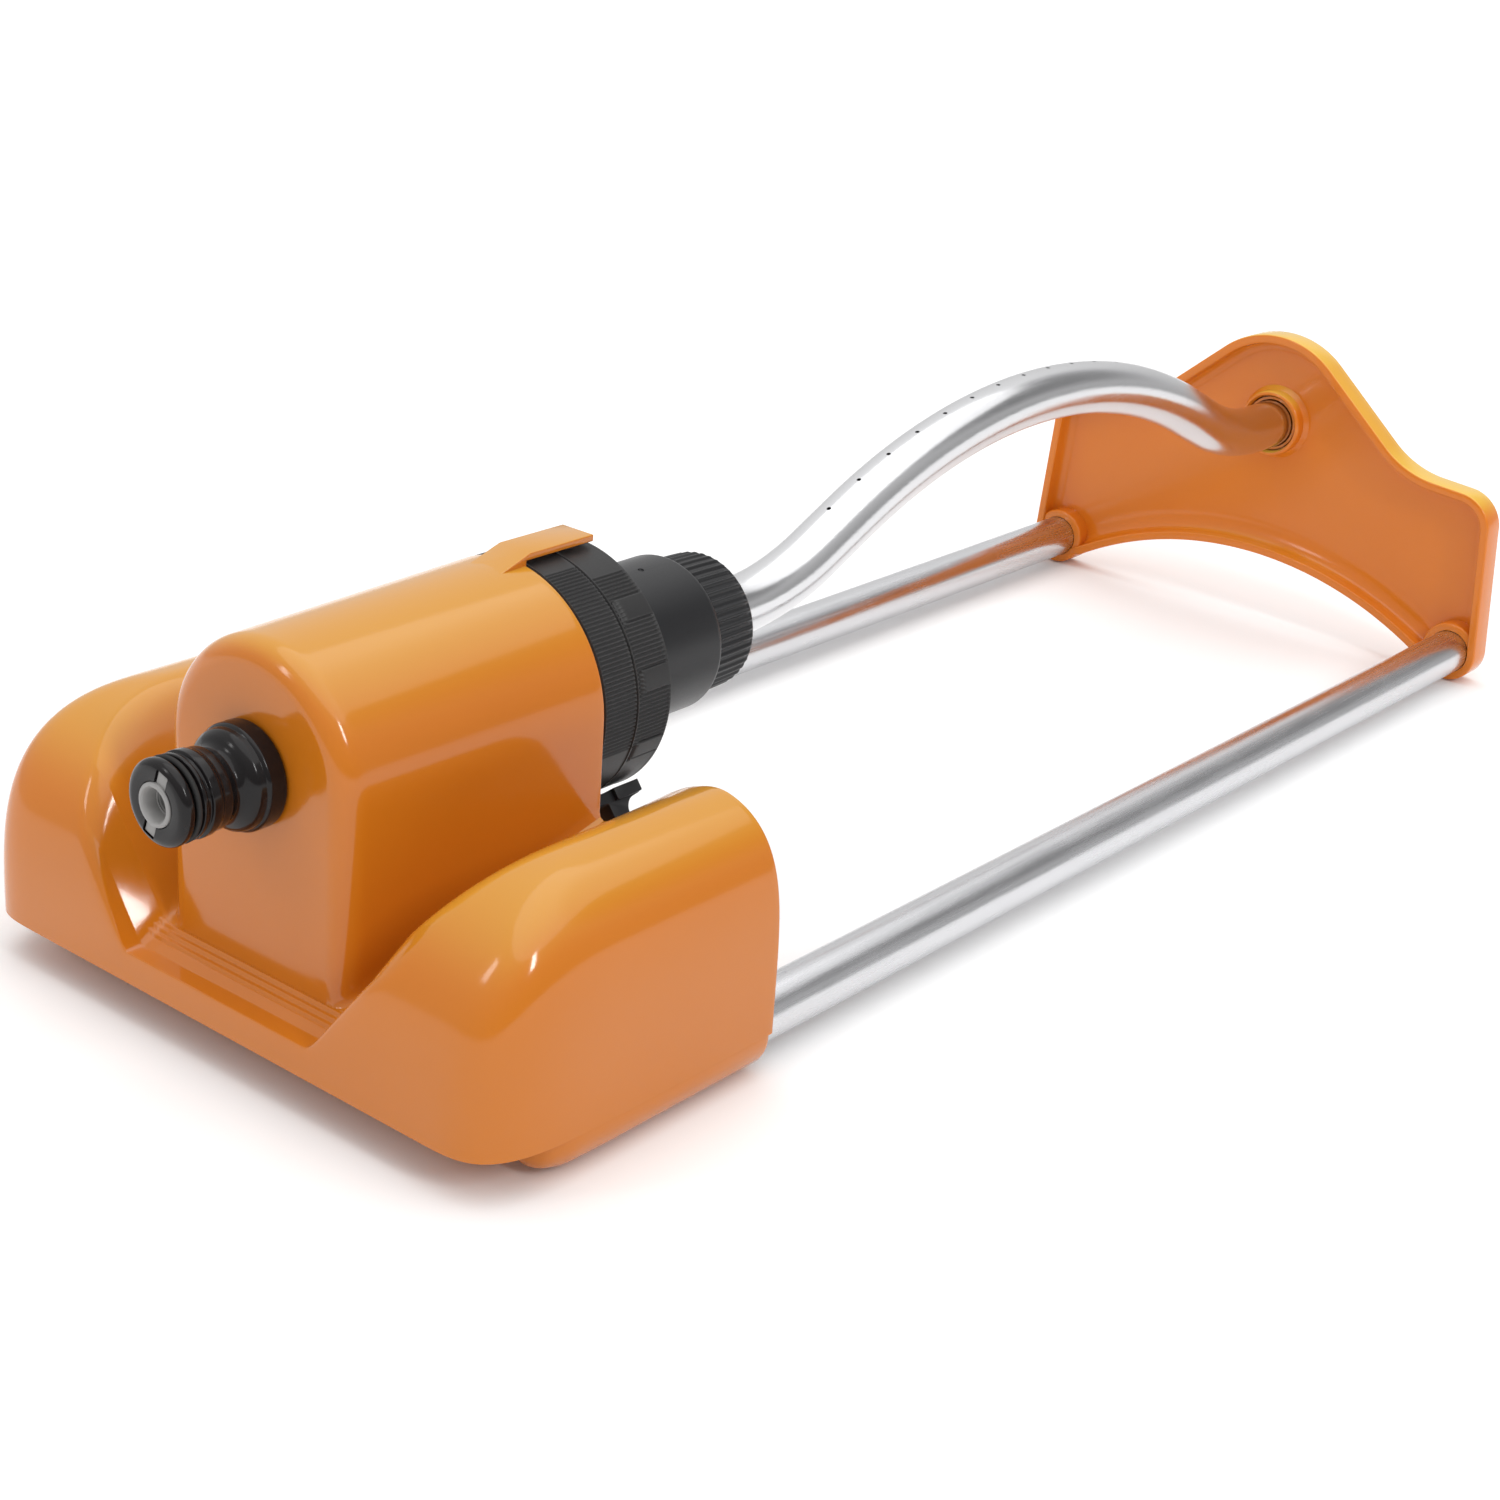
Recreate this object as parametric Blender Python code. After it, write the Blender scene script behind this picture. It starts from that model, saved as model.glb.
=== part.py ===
"""Oscillating lawn sprinkler with a geared water motor, two range rings and a bent spray tube."""
import math

import bmesh
import bpy
from mathutils import Matrix, Vector

MM = 0.001

# overall frame: X runs from the hose nipple to the end plate, Z is up
LENGTH = 412.5
AXIS_Z = 59.7
GAP = 0.3
WELD = 0.004

# base housing
BASE_FRONT = 12.7
BASE_BACK = 90.0
BASE_HALF_W = 75.0
BASE_LIP = 9.0
WING_TOP = 56.0
WING_CREST_Y = 55.0
NOSE_LENGTH = 38.0
SHELL_WALL = 2.2
DOME_FRONT = 22.8
DOME_R_FRONT = 25.6
DOME_R_BACK = 27.2
DOME_EDGE_R = 5.0
SHELF_Z = 19.0
SHELF_FRONT_Z = 15.6
SHELF_FRONT_X = 17.0
SHELF_CORNER = 2.0
VALLEY_BACK_Z = 38.5
FOOT_FILLET = 2.0
SLOPE_FRONT = 1.5
SLOPE_BACK = 0.75
HOOD_TOP = 89.0
HOOD_HALF_W = 4.4
HOOD_START = 82.0
HOOD_FLAT = 91.0
HOOD_END = 109.5
HOOD_THICK = 1.5
NECK_BORE_R = 24.0
NIPPLE_HOLE_R = 8.4

# rails and skids
RAIL_Y = 66.7
RAIL_Z = 8.1
RAIL_R = 6.0
RAIL_WALL = 1.0
RAIL_START = 38.0
RAIL_END = 408.0
SKID_R = 8.3
SKID_START = 27.5
SKID_END = 89.85
SKID_CLEAR = 8.9
COVER_TOP = 10.8
COVER_BOTTOM = 9.2
COVER_HALF_W = 57.3
SCREW_XY = ((32.0, 44.0), (32.0, -44.0), (78.0, 44.0), (78.0, -44.0))

# end plate
PLATE_FRONT = 404.5
PLATE_BACK = 412.5
PLATE_WALL = 2.5
PLATE_TOP_R = 26.2
PLATE_SIDE_TOP_Y = 72.4
PLATE_SHOULDER_Z = 55.0
PLATE_CORNER_R = 10.5
PLATE_HOLLOW_R = 28.0
PLATE_HOLLOW_Y = 56.0
ARCH_TOP = 20.6
ARCH_HALF = 58.0
ARCH_FOOT_Z = 4.0
SOCKET_R = 8.3
BOSS_R = 9.6
BOSS_FRONT = 405.6

# spray tube
TUBE_R = 6.8
TUBE_WALL = 1.0
TUBE_START = 124.0
TUBE_END = 409.0
ARM_MID = 278.5
CREST_BEND_R = 180.5
END_BEND_R = 70.8
STRAIGHT = 13.2
RISE_ANGLE = 0.44
HOLE_COUNT = 17
HOLE_PITCH = 10.55
HOLE_SHIFT = 3.5
HOLE_R = 0.55

# rings, hub and nut
RING_R = 27.1
RING_BORE = 22.0
RING_1 = (90.4, 99.7)
RING_2 = (100.0, 110.0)
HUB_R = 17.3
HUB_BACK = 138.4
NUT_R_FRONT = 15.5
NUT_R_BACK = 15.2
NUT_FRONT = 138.8
NUT_BACK = 151.5

# insert in the nipple's mouth
INSERT_R = 4.35
INSERT_ARM_R = 6.9
INSERT_ARM_HALF_W = 1.4
INSERT_TURN = 18.6

# trip lever, hanging to the right of straight down
LEVER_TURN = -38.0

# water motor
CASE_R = 22.6
CASE_BORE = 20.8
CASE_FRONT = 29.0
CASE_BACK = 80.0
MODULE = 0.7
PINION_TEETH = 8
WHEEL_TEETH = 24
TURBINE_R = 15.0
TURBINE_BLADES = 12
PIN_R = 1.5


def clear_scene():
    for obj in list(bpy.data.objects):
        bpy.data.objects.remove(obj, do_unlink=True)
    for mesh in list(bpy.data.meshes):
        bpy.data.meshes.remove(mesh)
    for mat in list(bpy.data.materials):
        bpy.data.materials.remove(mat)


def material(name, rgb, rough, metal=0.0):
    mat = bpy.data.materials.new(name)
    mat.use_nodes = True
    node = mat.node_tree.nodes["Principled BSDF"]
    node.inputs["Base Color"].default_value = (*rgb, 1.0)
    node.inputs["Roughness"].default_value = rough
    node.inputs["Metallic"].default_value = metal
    return mat


def to_part(x, y, z):
    return Vector(((x - LENGTH / 2) * MM, y * MM, z * MM))


def finish(name, bm, mat, origin, angle=30.0):
    """Turn a bmesh in part millimetres into an object whose origin is the given point."""
    bmesh.ops.remove_doubles(bm, verts=bm.verts, dist=WELD)
    bmesh.ops.recalc_face_normals(bm, faces=bm.faces)
    place = to_part(*origin)
    for vert in bm.verts:
        vert.co = to_part(*vert.co) - place
    mesh = bpy.data.meshes.new(name)
    bm.to_mesh(mesh)
    bm.free()
    if mesh_volume(mesh) < 0:
        mesh.flip_normals()
    obj = bpy.data.objects.new(name, mesh)
    bpy.context.collection.objects.link(obj)
    obj.location = place
    mesh.materials.append(mat)
    mesh.shade_smooth()
    mesh.set_sharp_from_angle(angle=math.radians(angle))
    return obj


def mesh_volume(mesh):
    bm = bmesh.new()
    bm.from_mesh(mesh)
    volume = bm.calc_volume(signed=True)
    bm.free()
    return volume


def lathe(profile, y=0.0, z=AXIS_Z, steps=32):
    """Spin a closed (x, r) outline about the X line through (y, z)."""
    bm = bmesh.new()
    rings = []
    for x, radius in profile:
        ring = []
        if radius < 1e-6:
            ring = [bm.verts.new((x, y, z))] * steps
        else:
            for k in range(steps):
                turn = 2 * math.pi * k / steps
                ring.append(bm.verts.new((x, y + radius * math.cos(turn), z + radius * math.sin(turn))))
        rings.append(ring)
    for i, ring in enumerate(rings):
        follow = rings[(i + 1) % len(rings)]
        for k in range(steps):
            n = (k + 1) % steps
            corners = []
            for vert in (ring[k], ring[n], follow[n], follow[k]):
                if vert not in corners:
                    corners.append(vert)
            if len(corners) > 2:
                bm.faces.new(corners)
    return bm


def cylinder(x0, x1, radius, y=0.0, z=AXIS_Z, steps=32):
    return lathe([(x0, 0.0), (x0, radius), (x1, radius), (x1, 0.0)], y, z, steps)


def prism(outline, low, high, axis):
    """Extrude a closed outline along x, y or z between two heights."""
    bm = bmesh.new()

    def corner(pair, height):
        if axis == "x":
            return (height, pair[0], pair[1])
        if axis == "y":
            return (pair[0], height, pair[1])
        return (pair[0], pair[1], height)

    bottom = [bm.verts.new(corner(p, low)) for p in outline]
    top = [bm.verts.new(corner(p, high)) for p in outline]
    count = len(outline)
    for k in range(count):
        n = (k + 1) % count
        bm.faces.new((bottom[k], bottom[n], top[n], top[k]))
    bm.faces.new(bottom)
    bm.faces.new(top)
    bmesh.ops.recalc_face_normals(bm, faces=bm.faces)
    return bm


def box(x0, x1, y0, y1, z0, z1):
    return prism([(x0, y0), (x1, y0), (x1, y1), (x0, y1)], z0, z1, "z")


def combine(base, tools, operation):
    """Join or cut bmesh solids in one exact boolean and hand back a new bmesh."""
    group = bpy.data.collections.new("tools")
    bpy.context.scene.collection.children.link(group)
    holder = scratch(base, bpy.context.scene.collection)
    others = [scratch(tool, group) for tool in tools]
    step = holder.modifiers.new("step", "BOOLEAN")
    step.operation = operation
    step.solver = "EXACT"
    step.operand_type = "COLLECTION"
    step.collection = group
    graph = bpy.context.evaluated_depsgraph_get()
    result = bpy.data.meshes.new_from_object(holder.evaluated_get(graph))
    for obj in (holder, *others):
        bpy.data.meshes.remove(obj.data)
    bpy.data.collections.remove(group)
    bm = bmesh.new()
    bm.from_mesh(result)
    bpy.data.meshes.remove(result)
    bmesh.ops.remove_doubles(bm, verts=bm.verts, dist=WELD)
    return bm


def scratch(bm, group):
    bmesh.ops.recalc_face_normals(bm, faces=bm.faces)
    mesh = bpy.data.meshes.new("scratch")
    bm.to_mesh(mesh)
    bm.free()
    obj = bpy.data.objects.new("scratch", mesh)
    group.objects.link(obj)
    return obj


def cut(base, *tools):
    return combine(base, tools, "DIFFERENCE")


def join(base, *tools):
    return combine(base, tools, "UNION")


def smooth_min(a, b, k):
    h = max(k - abs(a - b), 0.0) / k
    return min(a, b) - h * h * k / 4


def dome_radius(x, inset):
    part = (x - DOME_FRONT) / (BASE_BACK - DOME_FRONT)
    return DOME_R_FRONT + (DOME_R_BACK - DOME_R_FRONT) * part - inset


def wing_height(x, y, inset, foot):
    """Height of the housing surface beside the dome; inset moves it inwards by the wall."""
    front = BASE_FRONT + inset
    a = min(max((front + NOSE_LENGTH - x) / NOSE_LENGTH, 0.0), 1.0)
    b = min(max((y - WING_CREST_Y) / (BASE_HALF_W - inset - WING_CREST_Y), 0.0), 1.0)
    edge = (a ** 4 + b ** 4) ** 0.25
    share = a ** 4 / (a ** 4 + b ** 4) if edge > 0 else 0.0
    power = 5.0 - 2.1 * share
    top = BASE_LIP + (WING_TOP - inset - BASE_LIP) * max(1 - edge ** 2.2, 0.0) ** (1 / power)
    part = min(max((x - DOME_FRONT) / (BASE_BACK - DOME_FRONT), 0.0), 1.0)
    floor = SHELF_Z + (VALLEY_BACK_Z - SHELF_Z) * part ** 0.9
    ahead = min(max((DOME_FRONT - x) / (DOME_FRONT - SHELF_FRONT_X), 0.0), 1.0)
    floor -= (SHELF_Z - SHELF_FRONT_Z) * ahead
    slope = SLOPE_FRONT + (SLOPE_BACK - SLOPE_FRONT) * part
    reach = max(y - dome_radius(max(x, DOME_FRONT), 0.0), 0.0)
    reach = math.hypot(reach, SHELF_CORNER) - SHELF_CORNER
    side = floor + slope * reach - inset * math.sqrt(1 + slope * slope)
    height = smooth_min(top, side, 6.0)
    height = max(height, BASE_LIP) if edge < 1 else BASE_LIP
    near = y - foot
    if x >= DOME_FRONT and near < FOOT_FILLET:
        lift = FOOT_FILLET - math.sqrt(max(FOOT_FILLET ** 2 - (FOOT_FILLET - near) ** 2, 0.0))
        height += lift
    return height


def resample(points, count):
    lengths = [0.0]
    for p, q in zip(points, points[1:]):
        lengths.append(lengths[-1] + math.dist(p, q))
    out = []
    j = 0
    for k in range(count):
        want = lengths[-1] * k / (count - 1)
        while j < len(lengths) - 2 and lengths[j + 1] < want:
            j += 1
        span = lengths[j + 1] - lengths[j]
        t = (want - lengths[j]) / span if span > 1e-9 else 0.0
        out.append(tuple(a + (b - a) * t for a, b in zip(points[j], points[j + 1])))
    return out


def wing_row(x, inset, foot, count):
    front = BASE_FRONT + inset
    a = min(max((front + NOSE_LENGTH - x) / NOSE_LENGTH, 0.0), 1.0)
    wide = WING_CREST_Y + (BASE_HALF_W - inset - WING_CREST_Y) * (1 - a ** 4) ** 0.25
    fine = []
    for k in range(241):
        t = k / 240
        y = wide + (foot - wide) * (1 - math.cos(math.pi * t)) / 2
        fine.append((x, y, wing_height(x, y, inset, foot)))
    return resample(fine, count)


def dome_row(x, inset, ease, count):
    """Half outline of the dome from its foot to the crown, drawn in by ease."""
    radius = dome_radius(x, inset) - ease
    foot = wing_height(x, radius, inset, radius)
    fine = [(x, radius, foot + (AXIS_Z - foot) * k / 20) for k in range(21)]
    for k in range(1, 41):
        turn = math.pi / 2 * k / 40
        fine.append((x, radius * math.cos(turn), AXIS_Z + radius * math.sin(turn)))
    return resample(fine, count)


def housing_solid(inset, back, wings, domes, noses, lengths, drop):
    """Closed block with the outer form of the housing, moved inwards by inset."""
    front = BASE_FRONT + inset
    face = DOME_FRONT + inset
    round_r = DOME_EDGE_R - inset * 0.6
    rows = []
    small = dome_radius(face, inset) - round_r
    for k in range(noses):
        x = front + (face - front) * (k / (noses - 1)) ** 2.2
        half = wing_row(x, inset, small, wings)
        level = half[-1][2]
        half += [(x, small * (1 - t / (domes - 1)), level) for t in range(1, domes)]
        rows.append(half)
    wing = wing_row(face, inset, small, wings)
    target = dome_row(face, inset, round_r, domes)
    for k in range(1, 5):
        t = k / 4
        flat = rows[noses - 1][wings - 1:]
        blend = [tuple(a + (b - a) * t for a, b in zip(p, q)) for p, q in zip(flat, target)]
        rows.append(wing[:-1] + blend)
    for k in range(1, 7):
        turn = math.pi / 2 * k / 6
        x = face + round_r * (1 - math.cos(turn))
        ease = round_r * (1 - math.sin(turn))
        foot = dome_radius(x, inset) - ease
        rows.append(wing_row(x, inset, foot, wings)[:-1] + dome_row(x, inset, ease, domes))
    start = face + round_r
    for k in range(1, lengths + 1):
        x = start + (back - start) * k / lengths
        foot = dome_radius(x, inset)
        rows.append(wing_row(x, inset, foot, wings)[:-1] + dome_row(x, inset, 0.0, domes))
    return grid_solid(rows, drop)


def grid_solid(rows, drop):
    bm = bmesh.new()
    seen = {}

    def vert(point):
        key = tuple(round(c, 3) for c in point)
        if key not in seen:
            seen[key] = bm.verts.new(point)
        return seen[key]

    full = []
    for half in rows:
        line = [vert(p) for p in half]
        line += [vert((p[0], -p[1], p[2])) for p in reversed(half[:-1])]
        full.append(line)
    for low, high in zip(full, full[1:]):
        for k in range(len(low) - 1):
            corners = []
            for v in (low[k], low[k + 1], high[k + 1], high[k]):
                if v not in corners:
                    corners.append(v)
            if len(corners) > 2 and not bm.faces.get(corners):
                bm.faces.new(corners)
    bmesh.ops.recalc_face_normals(bm, faces=bm.faces)
    rim = full[0] + [line[-1] for line in full[1:]]
    rim += [line[0] for line in reversed(full[1:])]
    loop = []
    for v in rim:
        if v not in loop:
            loop.append(v)
    if drop > 0:
        lower = [bm.verts.new((v.co.x, v.co.y, v.co.z - drop)) for v in loop]
        count = len(loop)
        for k in range(count - 1):
            bm.faces.new((loop[k], loop[k + 1], lower[k + 1], lower[k]))
        at = loop.index(full[-1][-1])
        bm.faces.new(lower)
        bm.faces.ensure_lookup_table()
        back = list(full[-1]) + [lower[at], lower[at + 1]]
        for face in list(bm.faces):
            if set(face.verts) == {loop[at], loop[at + 1], lower[at], lower[at + 1]}:
                bm.faces.remove(face)
        bm.faces.new(back)
        close = (loop[-1], loop[0], lower[0], lower[-1])
        bm.faces.new(close)
    else:
        bm.faces.new(loop)
        bm.faces.new(full[-1])
    bmesh.ops.recalc_face_normals(bm, faces=bm.faces)
    bmesh.ops.triangulate(bm, faces=[f for f in bm.faces if len(f.verts) == 4], quad_method="SHORT_EDGE")
    return bm


def build_housing(mat):
    outer = housing_solid(0.0, BASE_BACK, 10, 8, 6, 4, 0.0)
    inner = housing_solid(SHELL_WALL, BASE_BACK - SHELL_WALL, 8, 9, 4, 3, 5.0)
    bosses = []
    for x, y in SCREW_XY:
        bosses.append(round_post(x, y, 4.0, COVER_TOP + GAP, 70.0))
    for side in (1, -1):
        bosses.append(cylinder(27.0, 95.0, SKID_CLEAR, side * RAIL_Y, RAIL_Z, 20))
    inner = cut(inner, *bosses)
    hood = hood_solid()
    body = join(outer, hood, skid_solid(1), skid_solid(-1))
    holes = [round_post(x, y, 1.9, 0.0, 26.0, 12) for x, y in SCREW_XY]
    for side in (1, -1):
        holes.append(cylinder(RAIL_START - GAP, 95.0, RAIL_R + GAP, side * RAIL_Y, RAIL_Z, 16))
    holes.append(cylinder(15.0, 40.0, NIPPLE_HOLE_R, steps=32))
    holes.append(cylinder(80.0, 95.0, NECK_BORE_R, steps=40))
    slot = box(80.0, 95.0, -7.0, 7.0, -33.5, -15.0)
    holes.append(turn_about_axis(slot, LEVER_TURN))
    body = cut(body, inner, *holes)
    return finish("housing_shell", body, mat, (52.0, 0.0, BASE_LIP))


def skid_solid(side):
    """Half-round runner under one wing, flat where it stands."""
    profile = [(SKID_START, 0.0), (SKID_START + 0.5, SKID_R * 0.45), (SKID_START + 2.6, SKID_R * 0.84),
               (SKID_START + 7.0, SKID_R - 0.25), (SKID_START + 13.0, SKID_R - 0.07), (SKID_START + 19.0, SKID_R),
               (SKID_END - 2.0, SKID_R), (SKID_END - 0.6, SKID_R - 0.6), (SKID_END, SKID_R - 1.9), (SKID_END, 0.0)]
    skid = lathe(profile, side * RAIL_Y, RAIL_Z, 20)
    return cut(skid, box(0.0, 120.0, -90.0, 90.0, -10.0, 0.0))


def round_post(x, y, radius, z0, z1, steps=16):
    outline = []
    for k in range(steps):
        turn = 2 * math.pi * k / steps
        outline.append((x + radius * math.cos(turn), y + radius * math.sin(turn)))
    return prism(outline, z0, z1, "z")


def turn_about_axis(bm, degrees):
    """Swing a solid drawn about the X line through the origin onto the spray axis."""
    turn = Matrix.Rotation(math.radians(degrees), 4, "X")
    bmesh.ops.transform(bm, matrix=Matrix.Translation((0.0, 0.0, AXIS_Z)) @ turn, verts=bm.verts)
    return bm


def hood_solid():
    low = HOOD_TOP - HOOD_THICK
    dome = AXIS_Z + DOME_R_BACK
    outline = [(HOOD_START - 3.0, dome - 3.0), (HOOD_START, dome - 0.7), (HOOD_FLAT, HOOD_TOP)]
    outline += [(HOOD_END, HOOD_TOP), (HOOD_END, low), (BASE_BACK, low), (BASE_BACK, dome - 3.0)]
    return prism(outline, -HOOD_HALF_W, HOOD_HALF_W, "y")


def build_base_cover(mat):
    """Flat plate that closes the shell from below, with two saddles for the motor case."""
    half = [(87.4, 55.3), (86.8, 56.7), (85.4, COVER_HALF_W), (26.5, COVER_HALF_W), (26.5, 66.4), (25.6, 67.3)]
    for k in range(4):
        turn = math.radians(90 + 30 * k)
        half.append((22.0 + 6.4 * math.cos(turn), 60.9 + 6.4 * math.sin(turn)))
    outline = half + [(x, -y) for x, y in reversed(half)]
    plate = prism(outline, COVER_BOTTOM, COVER_TOP, "z")
    cradles = []
    for x in (36.0, 72.0):
        cradles.append(box(x, x + 2.0, -12.0, 12.0, COVER_TOP - 0.5, 45.0))
    body = join(plate, *cradles)
    holes = [round_post(x, y, 1.9, 0.0, 20.0, 12) for x, y in SCREW_XY]
    body = cut(body, *holes, cylinder(20.0, 88.0, CASE_R + GAP))
    return finish("base_cover", body, mat, (52.0, 0.0, COVER_BOTTOM))


def build_cover_screw(index, x, y, mat):
    screw = []
    head = COVER_BOTTOM - GAP
    profile = [(head - 2.0, 0.0), (head - 2.0, 2.4), (head - 1.4, 3.2), (head, 3.2), (head, 1.5),
               (24.0, 1.5), (25.0, 0.0)]
    for height, radius in profile:
        screw.append((height, radius))
    bm = lathe(screw, 0.0, 0.0, 12)
    turn = Matrix.Rotation(math.radians(-90), 4, "Y")
    bmesh.ops.transform(bm, matrix=Matrix.Translation((x, y, 0.0)) @ turn, verts=bm.verts)
    return finish(f"cover_screw_{index}", bm, mat, (x, y, head))


def build_rail(name, side, mat):
    outline = [(RAIL_START, RAIL_R - RAIL_WALL), (RAIL_START, RAIL_R), (RAIL_END, RAIL_R),
               (RAIL_END, RAIL_R - RAIL_WALL)]
    bm = lathe(outline, side * RAIL_Y, RAIL_Z, 16)
    return finish(name, bm, mat, (RAIL_START, side * RAIL_Y, RAIL_Z))


def arc(cy, cz, radius, start, end, count):
    points = []
    for k in range(count + 1):
        turn = math.radians(start + (end - start) * k / count)
        points.append((cy + radius * math.cos(turn), cz + radius * math.sin(turn)))
    return points


def plate_half(inset):
    """Right half of the end plate outline from the top centre down to the arch centre."""
    hollow_z = PLATE_SHOULDER_Z + PLATE_HOLLOW_R
    gap = math.hypot(PLATE_HOLLOW_Y, hollow_z - AXIS_Z)
    lean = math.degrees(math.atan2(hollow_z - AXIS_Z, PLATE_HOLLOW_Y))
    turn = math.degrees(math.acos((PLATE_TOP_R + PLATE_HOLLOW_R) / gap))
    tangent = lean + turn
    points = arc(0.0, AXIS_Z, PLATE_TOP_R - inset, 90.0, tangent, 7)
    points += arc(PLATE_HOLLOW_Y, hollow_z, PLATE_HOLLOW_R + inset, tangent + 180.0, 264.0, 6)
    corner_y = PLATE_SIDE_TOP_Y - PLATE_CORNER_R
    corner_z = PLATE_SHOULDER_Z - PLATE_CORNER_R - 0.6
    points += arc(corner_y, corner_z, PLATE_CORNER_R - inset, 84.0, 0.0, 4)
    points += arc(RAIL_Y, RAIL_Z, SOCKET_R - inset, 2.0, -90.0, 4)
    points += arc(RAIL_Y, RAIL_Z, SOCKET_R - inset, -105.0, -150.0, 2)
    rise = ARCH_TOP - ARCH_FOOT_Z
    arch_r = (ARCH_HALF ** 2 + rise ** 2) / (2 * rise)
    reach = math.degrees(math.asin(ARCH_HALF / arch_r))
    points += arc(0.0, ARCH_TOP - arch_r, arch_r + inset, 90.0 - reach + inset * 0.8, 90.0, 6)
    return points


def plate_outline(inset):
    half = plate_half(inset)
    left = [(-y, z) for y, z in reversed(half[1:-1])]
    return half + left


def build_end_plate(mat):
    solid = prism(plate_outline(0.0), PLATE_FRONT, PLATE_BACK, "x")
    pocket = prism(plate_outline(PLATE_WALL), PLATE_FRONT - 5.0, PLATE_BACK - PLATE_WALL, "x")
    keep = [cylinder(BOSS_FRONT, PLATE_BACK, BOSS_R, steps=28)]
    for side in (1, -1):
        keep.append(cylinder(PLATE_FRONT + 1.5, PLATE_BACK, SOCKET_R - 0.05, side * RAIL_Y, RAIL_Z, 20))
    pocket = cut(pocket, *keep)
    bores = [cylinder(PLATE_FRONT - 2.0, PLATE_BACK - PLATE_WALL, TUBE_R + 1.3, steps=28)]
    bores.append(box(400.0, 420.0, -90.0, 90.0, -10.0, 0.0))
    for side in (1, -1):
        bores.append(cylinder(PLATE_FRONT - 2.0, RAIL_END + GAP, RAIL_R + GAP, side * RAIL_Y, RAIL_Z, 16))
        bores.append(cylinder(405.0, 420.0, 1.9, side * RAIL_Y, RAIL_Z, 12))
        bores.append(cylinder(PLATE_BACK - 1.7, 420.0, 3.4, side * RAIL_Y, RAIL_Z, 14))
    body = cut(solid, pocket, *bores)
    return finish("end_plate", body, mat, (PLATE_BACK, 0.0, AXIS_Z))


def build_plate_screw(name, side, mat):
    x = PLATE_BACK - 0.1
    profile = [(x - 14.0, 0.0), (x - 13.0, 1.5), (x - 1.3, 1.5), (x - 1.3, 3.1), (x - 0.5, 3.1), (x, 2.4),
               (x, 0.0)]
    bm = lathe(profile, side * RAIL_Y, RAIL_Z, 16)
    return finish(name, bm, mat, (x, side * RAIL_Y, RAIL_Z))


def build_rail_plug(name, side, mat):
    """Plastic plug in the rail end that the plate screw bites into."""
    profile = [(394.0, 1.9), (394.0, RAIL_R - RAIL_WALL - GAP), (RAIL_END - 0.5, RAIL_R - RAIL_WALL - GAP),
               (RAIL_END - 0.5, 1.9)]
    bm = lathe(profile, side * RAIL_Y, RAIL_Z, 16)
    return finish(name, bm, mat, (394.0, side * RAIL_Y, RAIL_Z))


def build_nipple(mat):
    bore = INSERT_R + GAP
    profile = [(0.4, bore), (0.4, 7.3), (0.9, 8.1), (1.6, 8.5), (2.8, 8.5), (3.2, 7.2), (5.0, 7.2), (5.4, 8.5),
               (8.6, 8.5), (9.4, 7.2), (13.6, 6.8), (15.2, 7.3), (16.6, 8.8), (17.6, 10.2), (18.6, 10.6),
               (22.5, 10.6), (22.5, 8.0), (28.4, 8.0), (28.4, 5.0), (10.0, 5.0), (10.0, bore)]
    wide = INSERT_ARM_HALF_W + 0.25
    slot = turn_about_axis(box(-1.0, 2.4, -wide, wide, -INSERT_ARM_R - GAP, INSERT_ARM_R + GAP), INSERT_TURN)
    return finish("hose_nipple", cut(lathe(profile, steps=24), slot), mat, (0.0, 0.0, AXIS_Z))


def build_ring(name, x, radius, thick, mat, steps=20):
    """Round rubber ring seated in a groove."""
    profile = []
    for k in range(6):
        turn = 2 * math.pi * k / 6
        profile.append((x + thick * math.cos(turn), radius + thick * math.sin(turn)))
    return finish(name, lathe(profile, steps=steps), mat, (x, 0.0, AXIS_Z), 80.0)


def build_insert(mat):
    """Threaded sleeve held in the nipple's mouth by two arms."""
    sleeve = cylinder(0.0, 9.7, INSERT_R, steps=20)
    arms = turn_about_axis(box(0.7, 2.1, -INSERT_ARM_HALF_W, INSERT_ARM_HALF_W, -INSERT_ARM_R, INSERT_ARM_R),
                           INSERT_TURN)
    bore = lathe([(-1.0, 0.0), (-1.0, 3.35), (3.0, 2.5), (6.0, 2.5), (6.2, 3.4), (12.0, 3.4), (12.0, 0.0)], steps=20)
    return finish("inlet_insert", cut(join(sleeve, arms), bore), mat, (0.0, 0.0, AXIS_Z))


def build_filter(mat):
    """Perforated cup screen behind the insert."""
    body = lathe([(10.3, 3.4), (10.3, 4.7), (20.0, 4.7), (20.0, 0.0), (19.2, 0.0), (19.2, 3.9), (11.0, 3.9),
                  (11.0, 3.9),
                  (11.0, 3.4)], steps=16)
    slots = []
    for k in range(4):
        x = 12.4 + 1.8 * k
        slots.append(box(x, x + 0.8, -6.0, 6.0, AXIS_Z - 1.2, AXIS_Z + 1.2))
    return finish("inlet_filter", cut(body, *slots), mat, (10.3, 0.0, AXIS_Z))


def build_motor_case(mat):
    profile = [(CASE_FRONT, 5.4), (CASE_FRONT, CASE_R), (CASE_BACK, CASE_R), (CASE_BACK, CASE_BORE),
               (CASE_FRONT + 2.0, CASE_BORE), (CASE_FRONT + 2.0, 5.4)]
    return finish("motor_case", lathe(profile, steps=28), mat, (CASE_FRONT, 0.0, AXIS_Z))


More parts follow.
